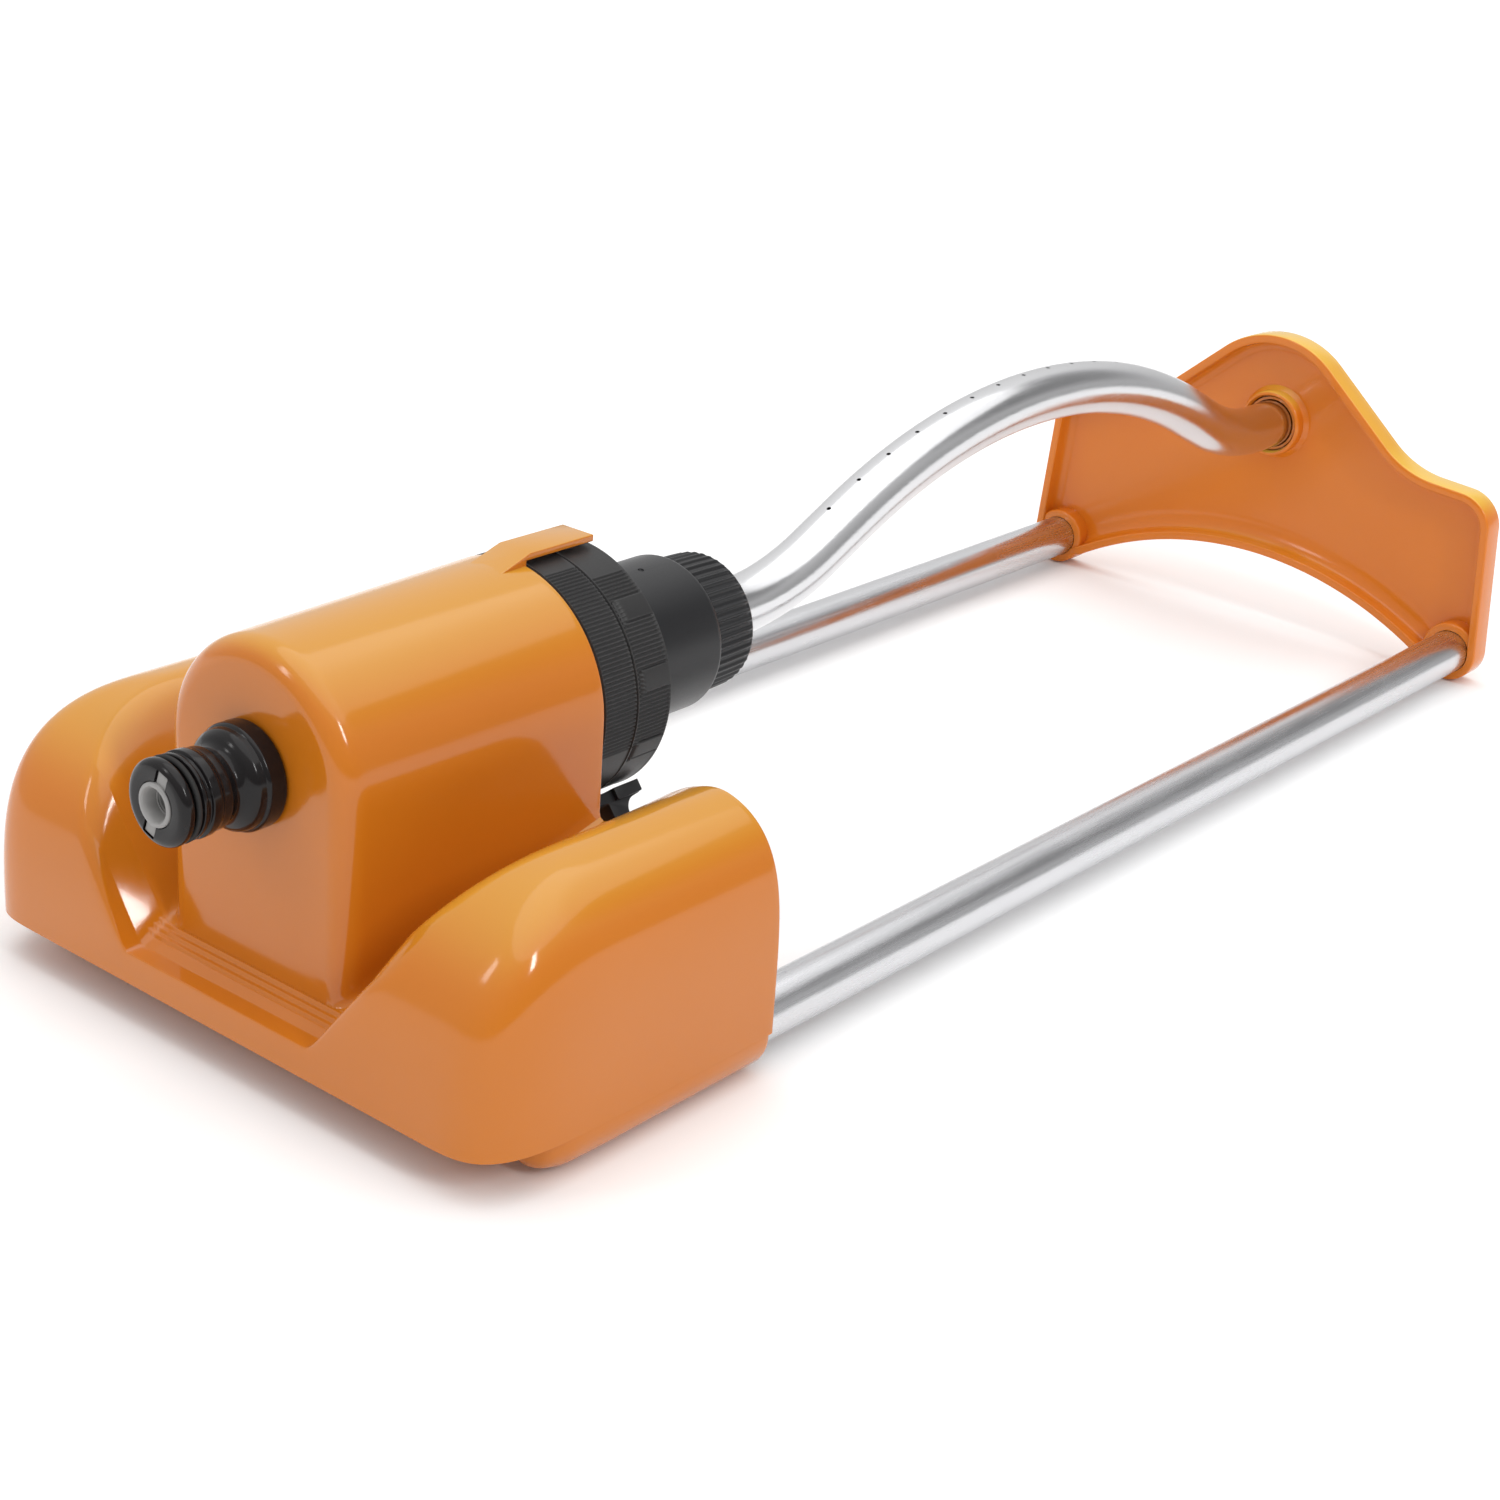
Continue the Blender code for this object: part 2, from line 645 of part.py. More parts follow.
def build_motor_cap(mat):
    x = CASE_BACK + GAP
    profile = [(x - 5.0, 18.6), (x - 5.0, CASE_BORE - GAP), (x, CASE_BORE - GAP), (x, CASE_R), (x + 2.4, CASE_R),
               (x + 2.4, 12.0), (89.9, 12.0), (89.9, 9.6), (x + 4.0, 9.6), (x + 4.0, 6.9), (x, 6.9), (x, 18.6)]
    return finish("motor_cap", lathe(profile, steps=28), mat, (x, 0.0, AXIS_Z))


def build_nozzle_plate(mat):
    body = lathe([(33.0, 1.5 + 0.1), (33.0, CASE_BORE - GAP), (35.0, CASE_BORE - GAP), (35.0, 3.5), (36.2, 3.5),
                  (36.2, 1.6)], steps=28)
    jets = []
    for side in (1, -1):
        jets.append(box(30.0, 40.0, side * 9.0 - 1.6, side * 9.0 + 1.6, AXIS_Z + 7.0, AXIS_Z + 11.0))
    return finish("nozzle_plate", cut(body, *jets), mat, (33.0, 0.0, AXIS_Z))


def build_pin(name, x0, x1, y, mat):
    return finish(name, cylinder(x0, x1, PIN_R, y, AXIS_Z, 16), mat, (x0, y, AXIS_Z))


def tooth_outline(teeth, phase):
    """Straight-flanked gear outline with running clearance, as (y, z) about its centre."""
    pitch = MODULE * teeth / 2
    tip = pitch + MODULE * 0.85
    root = pitch - MODULE * 1.2
    points = []
    for k in range(teeth):
        mid = 2 * math.pi * k / teeth + phase
        base = 0.62 * MODULE / root
        nose = 0.26 * MODULE / tip
        points.append((root * math.cos(mid - base), root * math.sin(mid - base)))
        points.append((tip * math.cos(mid - nose), tip * math.sin(mid - nose)))
        points.append((tip * math.cos(mid + nose), tip * math.sin(mid + nose)))
        points.append((root * math.cos(mid + base), root * math.sin(mid + base)))
    return points


def gear_solid(teeth, x0, x1, y, phase):
    outline = [(y + a, AXIS_Z + b) for a, b in tooth_outline(teeth, phase)]
    return prism(outline, x0, x1, "x")


def build_gear_pair(name, x0, y, mat, flip):
    """Large wheel with a pinion behind it, running loose on its pin."""
    half_tooth = math.pi / WHEEL_TEETH
    wheel = gear_solid(WHEEL_TEETH, x0, x0 + 3.7, y, half_tooth if flip else 0.0)
    pinion = gear_solid(PINION_TEETH, x0 + 3.5, x0 + 9.0, y, math.pi / PINION_TEETH if flip else 0.0)
    body = join(wheel, pinion)
    body = cut(body, cylinder(x0 - 2.0, x0 + 12.0, PIN_R + 0.2, y, AXIS_Z, 16))
    return finish(name, body, mat, (x0, y, AXIS_Z))


def build_turbine(mat):
    hub = lathe([(37.0, PIN_R + 0.2), (37.0, 6.0), (43.0, 6.0), (43.0, PIN_R + 0.2)], steps=24)
    blades = []
    for k in range(TURBINE_BLADES):
        blade = box(37.0, 43.0, 5.0, TURBINE_R, -0.5, 0.5)
        turn = Matrix.Rotation(2 * math.pi * k / TURBINE_BLADES, 4, "X")
        bmesh.ops.transform(blade, matrix=Matrix.Translation((0.0, 0.0, AXIS_Z)) @ turn, verts=blade.verts)
        blades.append(blade)
    pinion = gear_solid(PINION_TEETH, 42.9, 48.6, 0.0, 0.0)
    body = join(hub, *blades, pinion)
    body = cut(body, cylinder(35.0, 52.0, PIN_R + 0.2, steps=16))
    return finish("turbine_wheel", body, mat, (37.0, 0.0, AXIS_Z))


def build_output_gear(mat):
    wheel = gear_solid(WHEEL_TEETH, 59.6, 63.3, 0.0, 0.0)
    collar = cylinder(63.0, 66.4, 5.6, steps=24)
    body = join(wheel, collar)
    body = cut(body, cylinder(55.0, 64.0, PIN_R + 0.2, steps=16), cylinder(64.2, 70.0, 3.8, steps=16))
    ports = [box(64.3, 65.8, -8.0, 8.0, AXIS_Z - 1.2, AXIS_Z + 1.2)]
    return finish("output_gear", cut(body, *ports), mat, (59.6, 0.0, AXIS_Z))


def build_gear_plate(mat):
    body = lathe([(68.0, 7.0), (68.0, CASE_BORE - GAP), (70.0, CASE_BORE - GAP), (70.0, 7.0)], steps=28)
    holes = [cylinder(60.0, 75.0, PIN_R + 0.1, -gear_spacing(), AXIS_Z, 16)]
    for z in (12.0, -12.0):
        holes.append(cylinder(60.0, 75.0, 3.0, 0.0, AXIS_Z + z, 16))
    return finish("gear_plate", cut(body, *holes), mat, (68.0, 0.0, AXIS_Z))


def gear_spacing():
    return MODULE * (PINION_TEETH + WHEEL_TEETH) / 2


def build_arm_hub(mat):
    """Hollow output shaft, ring drum, smooth hub and the threaded neck under the nut."""
    profile = [(67.0, 4.4), (67.0, 6.5), (91.2, 6.5), (91.2, RING_BORE - GAP), (109.6, RING_BORE - GAP),
               (110.4, HUB_R - 0.6), (111.0, HUB_R), (HUB_BACK - 1.4, HUB_R), (HUB_BACK - 0.4, HUB_R - 0.4),
               (HUB_BACK, HUB_R - 1.4), (HUB_BACK, 12.6),
               (147.0, 12.6), (147.0, TUBE_R + 0.4), (122.0, TUBE_R + 0.4), (122.0, 4.4)]
    return finish("arm_hub", lathe(profile, steps=28), mat, (67.0, 0.0, AXIS_Z))


def build_range_ring(name, span, mat, pads):
    x0, x1 = span
    profile = [(x0, RING_BORE), (x0, RING_R - 0.3), (x0 + 0.3, RING_R), (x1 - 0.5, RING_R), (x1, RING_R - 0.5),
               (x1, RING_BORE)]
    body = lathe(profile, steps=32)
    lugs = []
    for turn in pads:
        lug = prism([(RING_R - 1.0, -2.6), (RING_R + 0.35, -2.6), (RING_R + 0.35, 2.6), (RING_R - 1.0, 2.6)],
                    x0 + 3.2, x1 - 0.8, "x")
        spin = Matrix.Rotation(math.radians(turn), 4, "X")
        bmesh.ops.transform(lug, matrix=Matrix.Translation((0.0, 0.0, AXIS_Z)) @ spin, verts=lug.verts)
        lugs.append(lug)
    body = join(body, *lugs) if lugs else body
    return finish(name, body, mat, ((x0 + x1) / 2, 0.0, AXIS_Z))


def build_nut(mat):
    profile = [(NUT_FRONT, 13.0), (NUT_FRONT, NUT_R_FRONT - 0.5), (NUT_FRONT + 0.5, NUT_R_FRONT),
               (NUT_BACK - 1.2, NUT_R_BACK), (NUT_BACK - 0.3, NUT_R_BACK - 0.4), (NUT_BACK, NUT_R_BACK - 1.1),
               (NUT_BACK, TUBE_R + 0.5), (149.4, TUBE_R + 0.5), (149.4, 13.0)]
    return finish("clamp_nut", lathe(profile, steps=28), mat, (NUT_FRONT, 0.0, AXIS_Z))


def arm_path(samples):
    """Centre line of the spray tube as (x, height above the swing axis, slope)."""
    half = []
    rise = RISE_ANGLE
    reach = (END_BEND_R + CREST_BEND_R) * math.sin(rise) + STRAIGHT * math.cos(rise)
    for k in range(samples + 1):
        turn = rise * k / samples
        half.append((END_BEND_R * math.sin(turn), END_BEND_R * (1 - math.cos(turn)), turn))
    top = (END_BEND_R + CREST_BEND_R) * (1 - math.cos(rise)) + STRAIGHT * math.sin(rise)
    for k in range(2 * samples + 1):
        turn = rise * (1 - k / (2 * samples))
        half.append((reach - CREST_BEND_R * math.sin(turn), top - CREST_BEND_R * (1 - math.cos(turn)), turn))
    path = [(TUBE_START, 0.0, 0.0)]
    path += [(ARM_MID - reach + x, h, t) for x, h, t in half]
    path += [(ARM_MID + reach - x, h, -t) for x, h, t in reversed(half[:-1])]
    path.append((TUBE_END, 0.0, 0.0))
    return path


def swept_tube(path, outer, inner, steps):
    bm = bmesh.new()
    skins = []
    for radius in (outer, inner):
        rings = []
        for x, h, slope in path:
            ring = []
            for k in range(steps):
                turn = 2 * math.pi * k / steps
                up = radius * math.sin(turn)
                ring.append(bm.verts.new((x - up * math.sin(slope), radius * math.cos(turn),
                                          AXIS_Z + h + up * math.cos(slope))))
            rings.append(ring)
        skins.append(rings)
        for a, b in zip(rings, rings[1:]):
            for k in range(steps):
                n = (k + 1) % steps
                bm.faces.new((a[k], a[n], b[n], b[k]))
    for end in (0, -1):
        for k in range(steps):
            n = (k + 1) % steps
            bm.faces.new((skins[0][end][k], skins[0][end][n], skins[1][end][n], skins[1][end][k]))
    bmesh.ops.recalc_face_normals(bm, faces=bm.faces)
    return bm


def build_spray_tube(mat):
    body = swept_tube(arm_path(3), TUBE_R, TUBE_R - TUBE_WALL, 14)
    drills = []
    for k in range(HOLE_COUNT):
        x = ARM_MID + HOLE_SHIFT + HOLE_PITCH * (k - (HOLE_COUNT - 1) / 2)
        lean = math.asin((ARM_MID - x) / CREST_BEND_R) if abs(x - ARM_MID) < 76 else 0.0
        lean = max(min(lean, RISE_ANGLE), -RISE_ANGLE)
        drill = round_post(0.0, 0.0, HOLE_R, 0.0, 30.0, 4)
        height = crest_height(x)
        move = Matrix.Translation((x, 0.0, AXIS_Z + height)) @ Matrix.Rotation(-lean, 4, "Y")
        bmesh.ops.transform(drill, matrix=move, verts=drill.verts)
        drills.append(drill)
    body = cut(body, *drills)
    return finish("spray_tube", body, mat, (TUBE_END, 0.0, AXIS_Z))


def crest_height(x):
    path = arm_path(24)
    for (x0, h0, _), (x1, h1, _) in zip(path, path[1:]):
        if x0 <= x <= x1:
            return h0 + (h1 - h0) * (x - x0) / (x1 - x0)
    return 0.0


def build_tube_plug(mat):
    inner = TUBE_R - TUBE_WALL - GAP
    profile = [(402.0, 0.0), (402.0, inner), (TUBE_END + 0.3, inner), (TUBE_END + 0.3, TUBE_R - 0.4),
               (TUBE_END + 0.7, TUBE_R - 0.4), (TUBE_END + 0.7, 0.0)]
    return finish("tube_end_plug", lathe(profile, steps=16), mat, (402.0, 0.0, AXIS_Z))


def build_pivot_bush(mat):
    front = BOSS_FRONT + 1.4
    profile = [(front, TUBE_R + 0.3), (front, TUBE_R + 1.0), (409.6, TUBE_R + 1.0), (409.6, TUBE_R + 0.3)]
    return finish("pivot_bush", lathe(profile, steps=28), mat, (front, 0.0, AXIS_Z))


def build_trip_lever(mat):
    collar = lathe([(88.2, 12.3), (88.2, 16.5), (89.7, 16.5), (89.7, 12.3)], steps=28)
    blocks = [box(88.2, 89.7, -2.5, 2.5, -31.0, -15.0), box(88.3, 108.0, -2.5, 2.5, -30.4, -28.2),
              box(101.5, 109.0, -3.6, 3.6, -30.8, -28.0), box(99.5, 104.0, -2.0, 2.0, -37.5, -29.0)]
    arms = [turn_about_axis(block, LEVER_TURN) for block in blocks]
    return finish("trip_lever", join(collar, *arms), mat, (89.0, 0.0, AXIS_Z))


def build_reverser(mat):
    """Flap in front of the jets, swung by the trip lever through the linkage."""
    body = lathe([(31.6, PIN_R + 0.2), (31.6, 4.4), (32.6, 4.4), (32.6, PIN_R + 0.2)], steps=24)
    blade = box(31.6, 32.6, -3.0, 3.0, AXIS_Z + 3.6, AXIS_Z + 12.0)
    return finish("reverser_flap", join(body, blade), mat, (31.6, 0.0, AXIS_Z))


def main():
    clear_scene()
    orange = material("orange_plastic", (0.74, 0.27, 0.035), 0.22)
    orange_plate = material("orange_plate_plastic", (0.74, 0.27, 0.035), 0.24)
    orange_cover = material("orange_cover_plastic", (0.7, 0.25, 0.03), 0.3)
    gloss_black = material("black_nipple_plastic", (0.02, 0.018, 0.018), 0.25)
    black = material("black_hub_plastic", (0.045, 0.045, 0.048), 0.42)
    ring_black = material("black_ring_plastic", (0.05, 0.05, 0.052), 0.5)
    grey = material("grey_insert_plastic", (0.17, 0.17, 0.17), 0.45)
    motor = material("motor_plastic", (0.06, 0.06, 0.065), 0.4)
    white = material("gear_plastic", (0.8, 0.79, 0.74), 0.4)
    rubber = material("seal_rubber", (0.02, 0.02, 0.02), 0.75)
    alloy = material("tube_aluminium", (0.8, 0.8, 0.81), 0.22, 1.0)
    rail_alloy = material("rail_aluminium", (0.78, 0.78, 0.79), 0.28, 1.0)
    steel = material("pin_steel", (0.6, 0.6, 0.6), 0.3, 1.0)

    build_housing(orange)
    build_base_cover(orange_cover)
    for index, (x, y) in enumerate(SCREW_XY, 1):
        build_cover_screw(index, x, y, steel)
    for name, side in (("left", 1), ("right", -1)):
        build_rail(f"rail_{name}", side, rail_alloy)
        build_rail_plug(f"rail_plug_{name}", side, motor)
        build_plate_screw(f"plate_screw_{name}", side, steel)
    build_end_plate(orange_plate)
    build_nipple(gloss_black)
    build_ring("nipple_seal", 4.1, 7.9, 0.55, rubber)
    build_insert(grey)
    build_filter(grey)
    build_motor_case(motor)
    build_motor_cap(motor)
    build_nozzle_plate(white)
    build_reverser(white)
    build_pin("centre_pin", 31.3, 62.5, 0.0, steel)
    build_pin("lay_pin", 44.0, 69.8, -gear_spacing(), steel)
    build_turbine(white)
    build_gear_pair("gear_first", 44.6, -gear_spacing(), white, True)
    build_gear_pair("gear_second", 49.6, 0.0, white, False)
    build_gear_pair("gear_third", 54.6, -gear_spacing(), white, True)
    build_output_gear(white)
    build_gear_plate(white)
    build_ring("shaft_seal", 86.5, 8.05, 1.2, rubber)
    build_arm_hub(black)
    build_range_ring("range_ring_front", RING_1, ring_black, ())
    build_range_ring("range_ring_rear", RING_2, ring_black, (131.0, 163.0, 197.0))
    build_nut(black)
    build_ring("tube_seal", 148.1, 9.4, 0.9, rubber)
    build_spray_tube(alloy)
    build_tube_plug(motor)
    build_pivot_bush(orange_plate)
    build_trip_lever(black)


main()
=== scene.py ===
import math

import bmesh
import bpy
from mathutils import Matrix, Vector


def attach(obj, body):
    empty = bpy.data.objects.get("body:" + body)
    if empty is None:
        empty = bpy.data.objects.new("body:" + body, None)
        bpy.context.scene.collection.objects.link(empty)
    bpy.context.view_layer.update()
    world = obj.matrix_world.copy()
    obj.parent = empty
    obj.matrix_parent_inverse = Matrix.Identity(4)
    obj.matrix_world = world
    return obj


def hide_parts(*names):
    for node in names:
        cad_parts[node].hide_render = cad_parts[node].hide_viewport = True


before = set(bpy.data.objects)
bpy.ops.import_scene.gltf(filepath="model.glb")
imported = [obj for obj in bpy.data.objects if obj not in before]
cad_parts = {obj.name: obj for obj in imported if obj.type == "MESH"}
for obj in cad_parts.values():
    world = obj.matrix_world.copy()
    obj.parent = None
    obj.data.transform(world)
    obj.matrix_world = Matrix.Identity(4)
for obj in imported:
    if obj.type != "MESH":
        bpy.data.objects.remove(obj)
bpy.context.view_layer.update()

MM = 0.001
MERGE = 0.003
FINE_MERGE = 0.0005
LENGTH = 412.5
AXIS_Z = 59.7
GAP = 0.3

# base housing
BASE_FRONT = 12.7
BASE_BACK = 90.0
BASE_HALF_W = 75.0
BASE_LIP = 9.0
WING_TOP = 56.0
WING_CREST_Y = 55.0
NOSE_LENGTH = 38.0
STEPPED_SHARE = 0.66
SHELL_WALL = 2.2
DOME_FRONT = 22.8
DOME_R_FRONT = 25.6
DOME_R_BACK = 27.2
DOME_EDGE_R = 5.0
SHELF_Z = 19.0
SHELF_FRONT_Z = 15.6
SHELF_FRONT_X = 17.0
SHELF_CORNER = 2.0
VALLEY_BACK_Z = 38.5
FOOT_FILLET = 2.0
SLOPE_FRONT = 1.5
SLOPE_BACK = 0.75
BACK_EDGE_R = 0.5
HOOD_TOP = 89.0
HOOD_HALF_W = 4.4
HOOD_START = 82.0
HOOD_FLAT = 91.0
HOOD_END = 109.5
HOOD_THICK = 1.5
NECK_BORE_R = 24.0
NIPPLE_HOLE_R = 8.4

# rails and skids
RAIL_Y = 66.7
RAIL_Z = 8.1
RAIL_R = 6.0
RAIL_WALL = 1.0
RAIL_START = 38.0
RAIL_END = 408.0
SKID_R = 8.3
SKID_START = 27.5
SKID_END = 89.85
SKID_CLEAR = 8.9
COVER_TOP = 10.8
COVER_BOTTOM = 9.2
COVER_HALF_W = 57.3
SCREW_XY = ((32.0, 44.0), (32.0, -44.0), (78.0, 44.0), (78.0, -44.0))

# end plate
PLATE_FRONT = 404.5
PLATE_BACK = 412.5
PLATE_WALL = 2.5
PLATE_TOP_R = 26.2
PLATE_SIDE_TOP_Y = 72.4
PLATE_SHOULDER_Z = 55.0
PLATE_CORNER_R = 10.5
PLATE_HOLLOW_R = 28.0
PLATE_HOLLOW_Y = 56.0
ARCH_TOP = 20.6
ARCH_HALF = 58.0
ARCH_FOOT_Z = 4.0
SOCKET_R = 8.3
BOSS_R = 9.6
BOSS_FRONT = 405.6

# spray tube
TUBE_R = 6.8
TUBE_WALL = 1.0
TUBE_START = 124.0
TUBE_END = 409.0
ARM_MID = 278.5
CREST_BEND_R = 180.5
CREST_DROP = 0.18
END_BEND_R = 70.8
STRAIGHT = 13.2
RISE_ANGLE = 0.44
HOLE_COUNT = 17
HOLE_PITCH = 10.55
HOLE_SHIFT = 3.5
HOLE_R = 0.55

# rings, hub and nut
RING_R = 27.1
RING_BORE = 22.0
RING_1 = (90.4, 99.7)
RING_2 = (100.0, 110.0)
RING_RIDGES = 188
RING_1_GRIPS = ((-1.0, 78.0), (109.0, 199.0))
RING_2_GRIPS = ((0.0, 49.0), (118.0, 199.5))
RING_2_PADS = ((131.0, 141.0), (163.8, 173.2), (198.5, 206.0))
HUB_R = 17.3
HUB_BACK = 138.4
NUT_R_FRONT = 15.5
NUT_R_BACK = 15.2
NUT_FRONT = 138.8
NUT_BACK = 151.5
NUT_RIBS = 47
LEVER_TURN = -38.0

# insert in the nipple's mouth
INSERT_R = 4.35
INSERT_ARM_R = 6.9
INSERT_ARM_HALF_W = 1.4
INSERT_TURN = 18.6


# ---- mesh helpers: everything is drawn in part millimetres and put in place by settle ----

def seat(x, y, z):
    return Vector(((x - LENGTH / 2) * MM, y * MM, z * MM))


def settle(name, bm, slot, body, node, sharp):
    """Turn a bmesh into a finished piece that rides on a body in place of a CAD node."""
    bmesh.ops.remove_doubles(bm, verts=bm.verts, dist=MERGE)
    bmesh.ops.dissolve_degenerate(bm, dist=FINE_MERGE, edges=bm.edges)
    bmesh.ops.recalc_face_normals(bm, faces=bm.faces)
    if bm.calc_volume(signed=True) < 0:
        bmesh.ops.reverse_faces(bm, faces=bm.faces)
    for vert in bm.verts:
        vert.co = seat(*vert.co)
    mesh = bpy.data.meshes.new(name)
    bm.to_mesh(mesh)
    bm.free()
    mesh.materials.append(FINISH[slot])
    mesh.shade_smooth()
    mesh.set_sharp_from_angle(angle=math.radians(sharp))
    piece = bpy.data.objects.new(name, mesh)
    bpy.context.collection.objects.link(piece)
    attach(piece, body)
    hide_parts(node)


def soften(outline, closed=True, count=4):
    """Round the corners of an outline of (a, b, radius) points."""
    out = []
    total = len(outline)
    for k, (a, b, soft) in enumerate(outline):
        here = Vector((a, b))
        if not soft or (not closed and k in (0, total - 1)):
            out.append((a, b))
            continue
        back = Vector(outline[k - 1][:2]) - here
        ahead = Vector(outline[(k + 1) % total][:2]) - here
        reach = min(soft, back.length * 0.48, ahead.length * 0.48)
        start = here + back.normalized() * reach
        end = here + ahead.normalized() * reach
        for j in range(count + 1):
            t = j / count
            out.append(tuple(start * (1 - t) ** 2 + here * 2 * t * (1 - t) + end * t * t))
    return out


def turned(profile, steps=96, y=0.0, z=AXIS_Z, sectors=1):
    """Spin an (x, r) profile about the X line through (y, z), in equal sectors where steps are very fine."""
    bm = bmesh.new()
    verts = [bm.verts.new((x, r, 0.0)) for x, r in profile]
    pairs = list(zip(verts, verts[1:]))
    if profile[0][1] > 1e-6 or profile[-1][1] > 1e-6:
        pairs.append((verts[-1], verts[0]))
    edges = [bm.edges.new(pair) for pair in pairs]
    part = 2 * math.pi / sectors
    bmesh.ops.spin(bm, geom=verts + edges, cent=(0, 0, 0), axis=(1, 0, 0), dvec=(0, 0, 0), angle=part,
                   steps=steps // sectors, use_merge=sectors == 1, use_normal_flip=False, use_duplicate=False)
    wedge = bm.verts[:] + bm.edges[:] + bm.faces[:]
    for k in range(1, sectors):
        made = bmesh.ops.duplicate(bm, geom=wedge)["geom"]
        bmesh.ops.rotate(bm, cent=(0, 0, 0), matrix=Matrix.Rotation(part * k, 3, "X"),
                         verts=[g for g in made if isinstance(g, bmesh.types.BMVert)])
    bmesh.ops.remove_doubles(bm, verts=bm.verts, dist=FINE_MERGE)
    bmesh.ops.recalc_face_normals(bm, faces=bm.faces)
    bmesh.ops.translate(bm, vec=(0.0, y, z), verts=bm.verts)
    return bm


def rod(x0, x1, radius, y=0.0, z=AXIS_Z, steps=48):
    return turned([(x0, 0.0), (x0, radius), (x1, radius), (x1, 0.0)], steps, y, z)


def slab(outline, low, high, axis, bevel=0.0, segments=2):
    """Extrude a flat outline between two heights along an axis, with softened edges."""
    bm = bmesh.new()
    spot = "xyz".index(axis)
    face = bm.faces.new([bm.verts.new((*pair[:spot], low, *pair[spot:])) for pair in outline])
    made = bmesh.ops.extrude_face_region(bm, geom=[face])["geom"]
    push = Vector([high - low if axis == name else 0.0 for name in "xyz"])
    bmesh.ops.translate(bm, vec=push, verts=[g for g in made if isinstance(g, bmesh.types.BMVert)])
    bmesh.ops.recalc_face_normals(bm, faces=bm.faces)
    if bevel:
        hard = [e for e in bm.edges if len(e.link_faces) == 2 and e.calc_face_angle(0.0) > 0.5]
        bmesh.ops.bevel(bm, geom=hard, offset=bevel, offset_type="OFFSET", segments=segments, profile=0.5,
                        affect="EDGES", clamp_overlap=True, material=-1)
    return bm


def block(x0, x1, y0, y1, z0, z1, bevel=0.0):
    return slab([(x0, y0), (x1, y0), (x1, y1), (x0, y1)], z0, z1, "z", bevel)


def post(x, y, radius, z0, z1, steps=32):
    bm = bmesh.new()
    bmesh.ops.create_cone(bm, cap_ends=True, segments=steps, radius1=radius, radius2=radius, depth=z1 - z0)
    bmesh.ops.translate(bm, vec=(x, y, (z0 + z1) / 2), verts=bm.verts)
    return bm


def about_axis(bm, degrees):
    """Swing a solid drawn about the X line through the origin onto the spray axis."""
    turn = Matrix.Translation((0.0, 0.0, AXIS_Z)) @ Matrix.Rotation(math.radians(degrees), 4, "X")
    bmesh.ops.transform(bm, matrix=turn, verts=bm.verts)
    return bm


def loft(rings, closed):
    """Extrude the first ring through all the others, with both ends capped unless closed."""
    bm = bmesh.new()
    verts = [bm.verts.new(p) for p in rings[0]]
    order = {v: k for k, v in enumerate(verts)}
    edges = [bm.edges.new((v, verts[(k + 1) % len(verts)])) for k, v in enumerate(verts)]
    first = list(edges)
    for ring in rings[1:]:
        made = bmesh.ops.extrude_edge_only(bm, edges=edges)["geom"]
        fresh = [g for g in made if isinstance(g, bmesh.types.BMVert)]
        follow = {}
        for vert in fresh:
            for edge in vert.link_edges:
                other = edge.other_vert(vert)
                if other in order:
                    follow[vert] = order[other]
        for vert, k in follow.items():
            vert.co = ring[k]
        edges = [g for g in made if isinstance(g, bmesh.types.BMEdge) and all(v in follow for v in g.verts)]
        order = follow
    if not closed:
        bmesh.ops.contextual_create(bm, geom=first)
        bmesh.ops.contextual_create(bm, geom=edges)
    else:
        bmesh.ops.remove_doubles(bm, verts=bm.verts, dist=FINE_MERGE)
    bmesh.ops.recalc_face_normals(bm, faces=bm.faces)
    return bm


def stand_in(bm, group):
    bmesh.ops.recalc_face_normals(bm, faces=bm.faces)
    mesh = bpy.data.meshes.new("blank")
    bm.to_mesh(mesh)
    bm.free()
    obj = bpy.data.objects.new("blank", mesh)
    group.objects.link(obj)
    return obj


def combine(base, tools, operation):
    """Join or cut solids in one exact boolean and hand back a new bmesh."""
    group = bpy.data.collections.new("blanks")
    bpy.context.scene.collection.children.link(group)
    holder = stand_in(base, bpy.context.scene.collection)
    others = [stand_in(tool, group) for tool in tools]
    step = holder.modifiers.new("step", "BOOLEAN")
    step.operation = operation
    step.solver = "MANIFOLD"
    step.operand_type = "COLLECTION"
    step.collection = group
    graph = bpy.context.evaluated_depsgraph_get()
    result = bpy.data.meshes.new_from_object(holder.evaluated_get(graph))
    for obj in (holder, *others):
        bpy.data.meshes.remove(obj.data)
    bpy.data.collections.remove(group)
    bm = bmesh.new()
    bm.from_mesh(result)
    bpy.data.meshes.remove(result)
    bmesh.ops.remove_doubles(bm, verts=bm.verts, dist=MERGE)
    return bm


def cut(base, *tools):
    return combine(base, tools, "DIFFERENCE")


def join(base, *tools):
    return combine(base, tools, "UNION")


# ---- shader groups ----

def shader_group(name, inputs, outputs):
    group = bpy.data.node_groups.new(name, "ShaderNodeTree")
    for label, kind, value in inputs:
        socket = group.interface.new_socket(name=label, in_out="INPUT", socket_type=kind)
        socket.default_value = value
    for label, kind in outputs:
        group.interface.new_socket(name=label, in_out="OUTPUT", socket_type=kind)
    return group, group.nodes.new("NodeGroupInput"), group.nodes.new("NodeGroupOutput")


def plug(tree, value, socket):
    """Link another node's output to a socket, or set the socket to a plain value."""
    if isinstance(value, bpy.types.NodeSocket):
        tree.links.new(value, socket)
    else:
        socket.default_value = value


